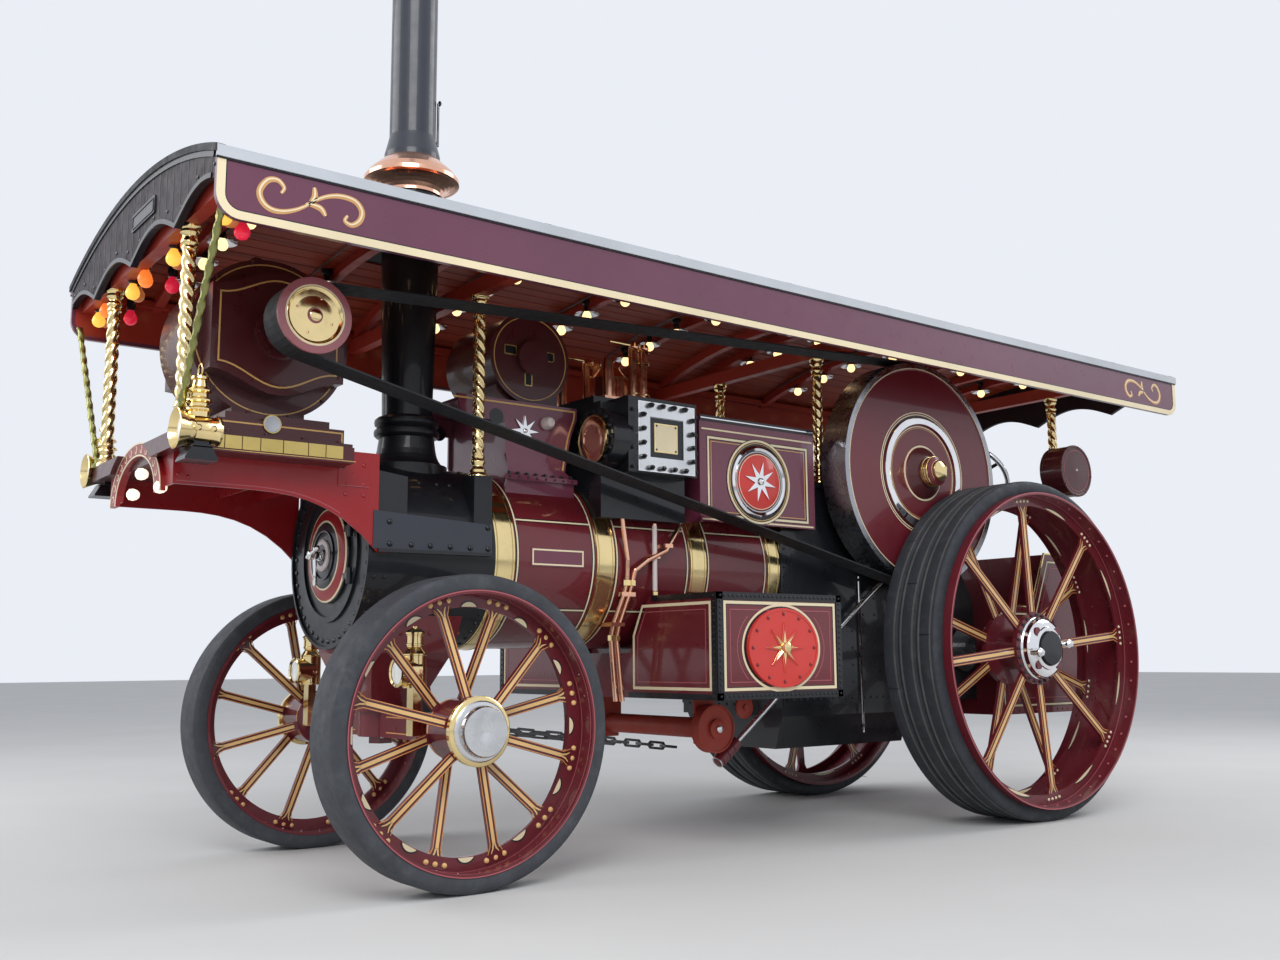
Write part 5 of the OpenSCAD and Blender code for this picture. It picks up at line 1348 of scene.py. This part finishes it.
def barrel_dress(kit):
    """Lining beside the bands and round the bays of the barrel, and a blank name plate on each side."""
    gold, black, dust = kit(CREAM), kit(BLACK), kit(OLD_BRASS)
    r = BARREL_R

    def hoop(pen, x, width, lift=0.001):
        pen.turned(at(x - width / 2, 0, BOILER_AT.z), X,
                   [(r, 0), (r + lift, 0), (r + lift, width), (r, width)], 120, caps=False)
    for x0, x1 in ((3.340, 3.450), (2.735, 2.845), (2.110, 2.220), (1.555, 1.645)):
        for x in (x0 - 0.020, x1 + 0.020):
            if 1.56 < x < 3.44:
                hoop(black, x, 0.020, 0.0006)
                hoop(gold, x, 0.0085)
        # Darker rings of dull brass just inside each band's edges.
        for x in (x0 + 0.012, x1 - 0.012):
            dust.turned(at(x - 0.003, 0, BOILER_AT.z), X,
                        [(0.456, 0), (0.4575, 0.001), (0.4575, 0.005), (0.456, 0.006)], 120, caps=False)
    for side in (1, -1):
        for x0, x1 in ((2.870, 3.315), (2.245, 2.710), (1.672, 2.085)):
            for angle in (66, 125):
                point, normal = around(0, side * angle, r)
                ends = [at(x, point.y, point.z) for x in (x0, x1)]
                black.line(ends, normal, 0.020, 0.0006)
                gold.line(ends, normal, 0.0085)
        face = side * 0.452
        kit(PLUM).block(at(2.925, side * 0.4275, 1.434), at(3.243, face, 1.525))
        gold.line(outline_box(2.934, 1.443, 3.234, 1.516, face), Y * side, 0.008, closed=True)


def pipes_dress(kit):
    """Unions on the small pipes, and a pale pipe under the cylinder."""
    brass, white = kit(BRASS), kit(WHITE_PAINT)
    for x, y, z in ((2.662, 0.462, 1.366), (2.628, 0.462, 1.366), (2.700, 0.372, 1.082), (2.664, 0.372, 1.082)):
        brass.turned(at(x, y, z - 0.016), Z, [(0.013, 0), (0.020, 0.002), (0.020, 0.030), (0.013, 0.032)], 6,
                     caps=False)
    white.turned(at(2.482, 0.470, 1.330), Z, [(0.0136, 0), (0.0136, 0.345)], 12, caps=False)
    brass.turned(at(2.482, 0.470, 1.300), Z, [(0.010, 0), (0.018, 0.006), (0.018, 0.024), (0.012, 0.030)], 12)


def tank_star(brass, centre, out):
    """A brass star of eight ridged rays, round a boss."""
    tips, roots = loop(centre, 0.130, 8, 90), loop(centre + out * 0.004, 0.038, 8, 67.5)
    for k, tip in enumerate(tips):
        brass.add([tip + out * 0.002, roots[k], centre, roots[(k + 1) % 8], centre + out * 0.022],
                  [(0, 1, 4), (0, 4, 3), (0, 3, 2), (0, 2, 1), (1, 2, 4), (2, 3, 4)])
    brass.dome(centre + out * 0.018, out, 0.030, 0.022, 24)


# Width of the angle iron round the belly tank
TANK_IRON = 0.036


def tank_dress(kit):
    """Riveted angle iron, lining and starred discs of the belly tank."""
    black, stud, gold, pink = kit(BLACK), kit(SOOT), kit(CREAM), kit(PINK)
    red, brass, dark = kit(SCARLET), kit(BRASS), kit(DARK_RED)
    low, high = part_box("belly_tank")
    x0, x1, z0, z1, half = low.x, high.x, low.z, high.z, high.y
    iron, mid, disc = TANK_IRON, TANK_IRON / 2, middle("tank_discs")
    for side in (1, -1):
        face, disc_face, out = side * half, side * (half + 0.018), Y * side
        raised = side * (half + 0.005)
        for a, b, c, d in ((x0, z0, x1, z0 + iron), (x0, z1 - iron, x1, z1), (x0, z0, x0 + iron, z1),
                           (x1 - iron, z0, x1, z1)):
            black.block((a, face, b), (c, raised, d))
        for x, z in (grid(spread(x0 + mid, x1 - mid, 28), (z0 + mid, z1 - mid))
                     + grid((x0 + mid, x1 - mid), spread(z0 + mid, z1 - mid, 17)[1:-1])):
            stud.dome(Vector((x, raised, z)), out, 0.0075, 0.005, 6)
        for inset, width, pen in ((0.051, 0.024, black), (0.051, 0.015, gold), (0.086, 0.004, pink)):
            a, b, c, d = x0 + inset, z0 + inset, x1 - inset, z1 - inset
            pen.line([Vector((x, face, z)) for x, z in ((a, b), (c, b), (c, d), (a, d))], out, width,
                     0.0008 if pen is black else 0.0014, closed=True)

        def oval(wide, tall, y, count=72):
            return loop(Vector((disc.x, y, disc.z)), wide, count, r_up=tall)
        black.line(oval(0.258, 0.2075, face), out, 0.034, 0.0012, closed=True)
        gold.line(oval(0.268, 0.2155, face), out, 0.0125, 0.0020, closed=True)
        outer = oval(0.304, 0.243, face)
        pink.line(outer[-8:] + outer[:9], out, 0.004)
        pink.line(outer[28:45], out, 0.004)
        red.line(oval(0.236, 0.193, disc_face), out, 0.012, 0.003, closed=True)
        for place in oval(0.214, 0.171, disc_face, 12):
            dark.dome(place, out, 0.010)
        tank_star(brass, Vector((disc.x, side * (half + 0.0175), disc.z)), out)
        # The lined panel of the sloping front, with a corner where the slope begins
        for pen, width, top, corner, outer_y, inset in (
                (gold, 0.015, 0.423, (0.345, 1.095), half - 0.051, 0.052),
                (pink, 0.004, 0.448, (0.380, 1.088), half - 0.086, 0.084)):
            panel = ((top, z1 - inset), corner, (corner[0], z0 + inset), (outer_y, z0 + inset),
                     (outer_y, z1 - inset))
            pen.line([Vector((x1, side * y, z)) for y, z in panel], X, width, closed=True)
        black.block((x1, side * (half - iron), z0), (x1 + 0.005, face, z1))
        for z in spread(z0 + mid, z1 - mid, 16):
            stud.dome(Vector((x1 + 0.005, side * (half - mid), z)), X, 0.0075, 0.005, 6)
        black.block((x1, side * 0.500, z1 - 0.030), (x1 + 0.004, face, z1))
        black.block((x1, side * 0.300, z0), (x1 + 0.004, face, z0 + 0.030))


def flywheel_dress():
    """Bright rim, lining, bright hoop and brass hub of the flywheel."""
    kit = Kit("flywheel", "crank")
    hub = middle("flywheel")
    hub.y = 0
    gold, cream, chrome, grey, brass, dark = (kit(m) for m in (GOLD, CREAM, CHROME, RIM_STEEL, BRASS, DYNAMO))
    # The rim's face, and the web behind it
    face, web = 0.716, 0.710

    def ring(pen, r0, r1, y, height=0.0012, crown=0.0):
        pen.ring(hub + Y * y, Y, r0, r1, height, 128, crown)
    grey.turned(hub + Y * 0.5262, Y, [(0.6880, 0), (0.6903, 0.0005), (0.6903, 0.1902), (0.6700, 0.1908)], 128,
                caps=False)
    ring(grey, 0.657, 0.6903, face, 0.0010)
    ring(cream, 0.6505, 0.6560, face, 0.0014)
    for r in (0.364, 0.378):
        ring(cream, r - 0.003, r + 0.003, web)
    ring(kit(BLACK, "maroon_paint"), 0.349, 0.360, web, 0.0008)
    chrome.turned(hub + Y * (face + 0.0052), Y, [(0.305, 0), (0.306, 0.0018), (0.326, 0.0050), (0.3465, 0.0018),
                                                 (0.3475, 0)], 128, caps=False)
    ring(cream, 0.287, 0.293, web)
    ring(gold, 0.278, 0.2805, web)
    ring(cream, 0.158, 0.172, face - 0.0062, 0.0050, 0.001)
    dark.turned(hub + Y * face, Y, [(0.1558, 0.0102), (0.1106, 0.0406), (0.0890, 0.0466)], 64, caps=False)
    brass.turned(hub + Y * face, Y, [(0.0888, 0.047), (0.0890, 0.1040), (0.0840, 0.1110), (0.0720, 0.1150),
                                     (0.0628, 0.1200), (0.0626, 0.1380), (0.0560, 0.1440), (0.020, 0.1515),
                                     (0, 0.1515)], 64)
    for y in (0.058, 0.094):
        brass.ring(hub + Y * (face + y), Y, 0.0875, 0.0925, 0.006, 64, 0.001)
    kit.finish()


def steering_dress(kit):
    """The worm, its red wheel's rim and boss, and the barrel's end boss."""
    wine, red, steel = kit(WINE), kit(RUST_RED), kit(STEEL)
    low, high = at(2.050, 0.500, 0.450), at(-0.250, 0.500, 2.175)
    along = (high - low).normalized()
    wine.tube([low + along * t for t in (-0.052, -0.046, 0.122, 0.128)], [0.024, 0.0352, 0.0352, 0.024], 16)
    for t in (-0.03, 0.02, 0.07):
        wine.tube([low + along * t, low + along * (t + 0.02)], 0.039, 16)
    hub = at(2.120, 0.472, 0.600)
    for y in (-0.004, 0.052):
        red.turned(hub + Y * y, Y, [(0.118, 0), (0.128, 0.002), (0.128, 0.008), (0.118, 0.010)], 64, caps=False)
    red.turned(hub + Y * 0.055, Y, [(0.052, 0), (0.052, 0.018), (0.040, 0.024), (0.020, 0.026)], 32)
    steel.turned(hub + Y * 0.078, Y, [(0.020, 0), (0.020, 0.012), (0.014, 0.016)], 20)
    red.turned(at(1.857, 0.452, 0.704), Y, [(0.058, 0), (0.062, 0.004), (0.062, 0.016), (0.050, 0.020),
                                            (0.018, 0.022), (0.018, 0.034), (0, 0.036)], 32)


def dress_middle():
    """Everything from the exciter back to the flywheel, and the tank and steering below."""
    kit = Kit("engine")
    for dress in (cylinder_dress, fittings_dress, exciter_dress, motion_dress, barrel_dress, pipes_dress,
                  tank_dress, steering_dress):
        dress(kit)
    kit.finish()
    flywheel_dress()


dress_middle()


# Firebox, tender, drawbar, axle lamps and the small fastenings below


def rivet_run(pen, start, end, step, normal, r=0.009):
    """Rivets at about equal steps from one point to another."""
    count = max(1, round((end - start).length / step))
    for i in range(count + 1):
        pen.dome(start.lerp(end, i / count), normal, r, r * 0.6, 8)


# The side plates beside the firebox, drawn inside their edge; x from the rear axle
PLATE_EDGE = ((-0.165, 0.735), (1.515, 0.735), (1.515, 1.655))


def firebox_dress(kit):
    """Rivets and stay heads on the side plates, a drain pipe, and a damper door under the firebox."""
    black, stud, pipe = kit(BLACK), kit(SOOT), kit(CHROME)
    for side in (1, -1):
        out, face = Y * side, side * 0.4502
        corners = side_points(face, PLATE_EDGE)
        for a, b in zip(corners, corners[1:]):
            rivet_run(stud, a, b, 0.055, out)
        rivet_run(stud, at(1.455, face, 0.80), at(1.455, face, 1.62), 0.055, out)
        for place in side_points(face, grid(spread(0.36, 1.36, 10), spread(0.83, 1.33, 5))):
            stud.dome(place, out, 0.008, 0.005, 8)
        black.line(side_points(face, ((-0.19, 0.708), (1.54, 0.708), (1.54, 1.67))), out, 0.014, 0.005)
        for x in (0.14, 0.27):
            black.nut(at(x, side * 0.5302, 1.02), out, 0.018, 0.014)
        pipe.tube(side_points(side * 0.462, ((0.902, 0.530), (0.902, 0.90), (0.902, 1.459))), 0.0065, 8)
        for z in (0.56, 0.98, 1.43):
            black.block(at(0.890, side * 0.448, z), at(0.914, side * 0.470, z + 0.018))
    low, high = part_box("firebox")
    rivet_run(stud, Vector((high.x, -0.38, 0.70)), Vector((high.x, 0.38, 0.70)), 0.07, X)
    rear = Vector((low.x, 0, BOILER_AT.z - 0.330))
    black.ring(rear, -X, 0.150, 0.178, 0.012, 40)
    black.block(rear + Vector((-0.014, 0.176, -0.012)), rear + Vector((-0.002, 0.240, 0.012)))
    for place in loop(rear - X * 0.012, 0.164, 10, right=Y):
        stud.dome(place, -X, 0.008)


# Tender side, drawn inside its edge, and the fine line inside that; x from the rear axle
TENDER_BORDER = ((-1.305, 0.655), (-1.365, 0.735), (-1.365, 1.605), (-0.790, 1.605), (-0.632, 1.250),
                 (-0.255, 1.250), (-0.255, 0.655))
TENDER_FINE = ((-1.285, 0.700), (-1.325, 0.755), (-1.325, 1.565), (-0.818, 1.565), (-0.660, 1.210),
               (-0.300, 1.210), (-0.300, 0.700))


def tender_dress(kit):
    """Cream and fine lining, a bead round the top edge, and rivets along the foot."""
    cream, black, pink, bead, stud = kit(CREAM), kit(BLACK), kit(PINK), kit(BRASS), kit(MAROON)
    low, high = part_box("tender")
    brim = high.y - 0.004
    for side in (1, -1):
        face, out = side * high.y, Y * side
        border = side_points(face, TENDER_BORDER)
        black.line(border, out, 0.022, 0.0006, closed=True)
        cream.line(border, out, 0.012, closed=True)
        pink.line(side_points(face, TENDER_FINE), out, 0.004, closed=True)
        rivet_run(stud, at(-1.30, face, 0.622), at(-0.23, face, 0.622), 0.06, out, 0.008)
        bead.tube(side_points(side * brim, ((-1.418, 1.661), (-0.760, 1.661), (-0.600, 1.302), (-0.206, 1.302))),
                  0.009, 8)
    bead.tube([at(-1.416, y, 1.661) for y in (-brim, 0.0, brim)], 0.009, 8)
    half = high.y - 0.055
    path = [Vector((low.x, y, z)) for y, z in ((-half, 0.80), (half, 0.80), (half, 1.605), (-half, 1.605))]
    black.line(path, -X, 0.022, 0.0006, closed=True)
    cream.line(path, -X, 0.012, closed=True)
    rivet_run(stud, Vector((low.x, -half - 0.03, 0.755)), Vector((low.x, half + 0.03, 0.755)), 0.06, -X, 0.008)


def drawbar_dress(kit):
    """Nuts on the drawbar's plate and collars round its pin holes."""
    black = kit(BLACK)
    for z in (0.798, 0.890):
        black.ring(at(-1.530, 0, z), Z, 0.026, 0.040, 0.005, 32)
    for y, z in grid((-0.140, 0.140), (0.765, 0.895)):
        black.nut(at(-1.434, y, z), -X, 0.020, 0.016)


def drum_dress(kit):
    """Rim, lining and fixing screws of the round drum beside the rear pillar."""
    dark, line = kit(DYNAMO), kit(PINK)
    low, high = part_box("rear_drum")
    centre = middle("rear_drum")
    centre.y = 0
    face = centre + Y * (high.y - 0.0105)
    dark.ring(face, Y, 0.160, 0.178, 0.006, 72, 0.003)
    line.ring(centre + Y * (high.y - 0.0052), Y, 0.140, 0.1435, 0.0012, 72)
    for y in (low.y + 0.012, high.y - 0.022):
        dark.ring(centre + Y * y, Y, 0.1745, 0.1785, 0.012, 72, 0.001)
    for place in loop(face + Y * 0.008, 0.169, 8, 10):
        dark.dome(place, Y, 0.006)


FRONT_AXLE = at(3.815, 0, 0.673)


def axle_dress():
    """Bosses, bolts and lining on the front axle, which steers with it."""
    kit = Kit("front_axle_fittings", "axle")
    steel, black, gold = kit(STEEL), kit(BLACK), kit(ORANGE)
    half_x, half_z = 0.055, 0.060
    for side in (1, -1):
        for z in (-0.036, 0.036):
            for out in (X, -X):
                gold.line([FRONT_AXLE + out * half_x + Vector((0, side * y, z)) for y in (0.17, 0.54)], out, 0.005)
        black.nut(FRONT_AXLE + Vector((-0.095, side * 0.450, 0.018)), Z, 0.018, 0.012)
        for x in (-0.03, 0.03):
            steel.nut(FRONT_AXLE + Vector((x, side * 0.640, half_z)), Z, 0.016, 0.016)
    for place in loop(FRONT_AXLE - Z * half_z, 0.104, 8, 22.5, up=Y):
        if abs(place.x - FRONT_AXLE.x) < half_x - 0.015:
            steel.dome(place, -Z, 0.010)
    lamp_dress(kit)
    kit.finish()


def perch_dress(kit):
    """Rivets on the bracket that carries the front axle's pin."""
    stud = kit(MAROON)
    for side in (1, -1):
        normal = (Y * side * 0.97 + Z * -0.24).normalized()
        rivet_run(stud, at(3.580, side * 0.3251, 1.10), at(4.030, side * 0.3251, 1.10), 0.075, normal, 0.010)
    rivet_run(stud, at(4.030, -0.30, 1.13), at(4.030, 0.30, 1.13), 0.075, X, 0.010)


def lamp_dress(kit):
    """Lens, collars and cap of the brass lamps that stand before the front axle's ends."""
    brass, lens, dark = kit(BRASS), kit(LENS), kit(COPPER)
    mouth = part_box("axle_lamps")[1].x
    for side in (1, -1):
        base = at(3.940, side * 0.585, FRONT_AXLE.z)
        front = Vector((mouth, base.y, base.z + 0.250))
        brass.turned(front - X * 0.004, X, [(0.052, 0), (0.066, 0.002), (0.068, 0.010), (0.062, 0.016),
                                            (0.054, 0.010)], 40, caps=False)
        lens.turned(front - X * 0.001, X, [(0.055, 0), (0.055, 0.003), (0.038, 0.009), (0, 0.013)], 32)
        for z, r in ((0.184, 0.0545), (0.322, 0.0545), (0.366, 0.0405), (0.408, 0.0405)):
            brass.turned(base + Z * z, Z, [(r - 0.003, 0), (r, 0.002), (r, 0.008), (r - 0.003, 0.010)], 36,
                         caps=False)
        brass.turned(base + Z * 0.419, Z, [(0.046, 0), (0.046, 0.006), (0.030, 0.018), (0.012, 0.026),
                                           (0.012, 0.034), (0, 0.036)], 32)
        for out in (-Y, Y):
            dark.turned(base + out * 0.049 + Z * 0.250, out, [(0.016, 0), (0.016, 0.010), (0.009, 0.014)], 16)


def dress_rear():
    """Firebox, tender, drawbar and drum, and the fittings of the front axle."""
    kit = Kit("rear")
    for dress in (firebox_dress, tender_dress, drawbar_dress, drum_dress, perch_dress):
        dress(kit)
    kit.finish()
    axle_dress()


dress_rear()


# Stage, lights and camera


def stage():
    """A pale floor."""
    size = 60
    mesh = bpy.data.meshes.new("floor")
    mesh.from_pydata([(-size, -size, 0), (size, -size, 0), (size, size, 0), (-size, size, 0)], [], [(0, 1, 2, 3)])
    floor = bpy.data.objects.new("floor", mesh)
    bpy.context.scene.collection.objects.link(floor)
    n = Nodes("pale floor")
    n.feed("Base Color", n.ramp(n.noise(0.6), 0.3, 0.7, (0.60, 0.60, 0.59), (0.64, 0.64, 0.63)))
    n.set(Roughness=0.9)
    mesh.materials.append(n.material)


def lights():
    """An even pale sky, brighter where it is seen or reflected, and three soft lamps."""
    world = bpy.data.worlds.new("studio")
    bpy.context.scene.world = world
    world.use_nodes = True
    tree = world.node_tree
    background = tree.nodes["Background"]
    background.inputs["Color"].default_value = (0.90, 0.93, 1.0, 1)
    path = tree.nodes.new("ShaderNodeLightPath")
    seen = tree.nodes.new("ShaderNodeMath")
    seen.operation = "MAXIMUM"
    tree.links.new(path.outputs["Is Camera Ray"], seen.inputs[0])
    tree.links.new(path.outputs["Is Glossy Ray"], seen.inputs[1])
    level = tree.nodes.new("ShaderNodeMapRange")
    level.inputs["To Min"].default_value = 0.62
    level.inputs["To Max"].default_value = 0.92
    tree.links.new(seen.outputs["Value"], level.inputs["Value"])
    tree.links.new(level.outputs["Result"], background.inputs["Strength"])
    for name, place, size, power in (("key", (7, 9, 9), 7, 900), ("fill", (9, -5, 6), 6, 350),
                                     ("back", (-9, 3, 8), 6, 400)):
        lamp = bpy.data.lights.new(name, "AREA")
        lamp.energy = power
        lamp.size = size
        obj = bpy.data.objects.new(name, lamp)
        bpy.context.scene.collection.objects.link(obj)
        obj.location = place
        obj.rotation_mode = "QUATERNION"
        obj.rotation_quaternion = (Vector((0, 0, 1.5)) - Vector(place)).to_track_quat("-Z", "Y")


# The photograph's viewpoint: place from the rear axle, turns in degrees, lens for a 36 mm sensor
CAMERA_PLACE = (6.5269, 5.6306, 0.979)
CAMERA_YAW = 52.57
CAMERA_PITCH = 8.19
CAMERA_ROLL = -0.39
CAMERA_LENS = 34.74


def camera():
    """The photograph's camera."""
    yaw, pitch, roll = (math.radians(a) for a in (CAMERA_YAW, CAMERA_PITCH, CAMERA_ROLL))
    look = Vector((-math.cos(yaw) * math.cos(pitch), -math.sin(yaw) * math.cos(pitch), math.sin(pitch)))
    side = look.cross(Z).normalized()
    up = side.cross(look)
    side, up = side * math.cos(roll) + up * math.sin(roll), up * math.cos(roll) - side * math.sin(roll)
    data = bpy.data.cameras.new("camera")
    data.sensor_width = 36
    data.lens = CAMERA_LENS
    data.clip_end = 300
    cam = bpy.data.objects.new("camera", data)
    bpy.context.scene.collection.objects.link(cam)
    cam.matrix_world = Matrix.Translation(at(*CAMERA_PLACE)) @ Matrix(
        ((side.x, up.x, -look.x), (side.y, up.y, -look.y), (side.z, up.z, -look.z))).to_4x4()
    bpy.context.scene.camera = cam


camera()
stage()
lights()
bpy.context.scene.view_settings.view_transform = "Standard"
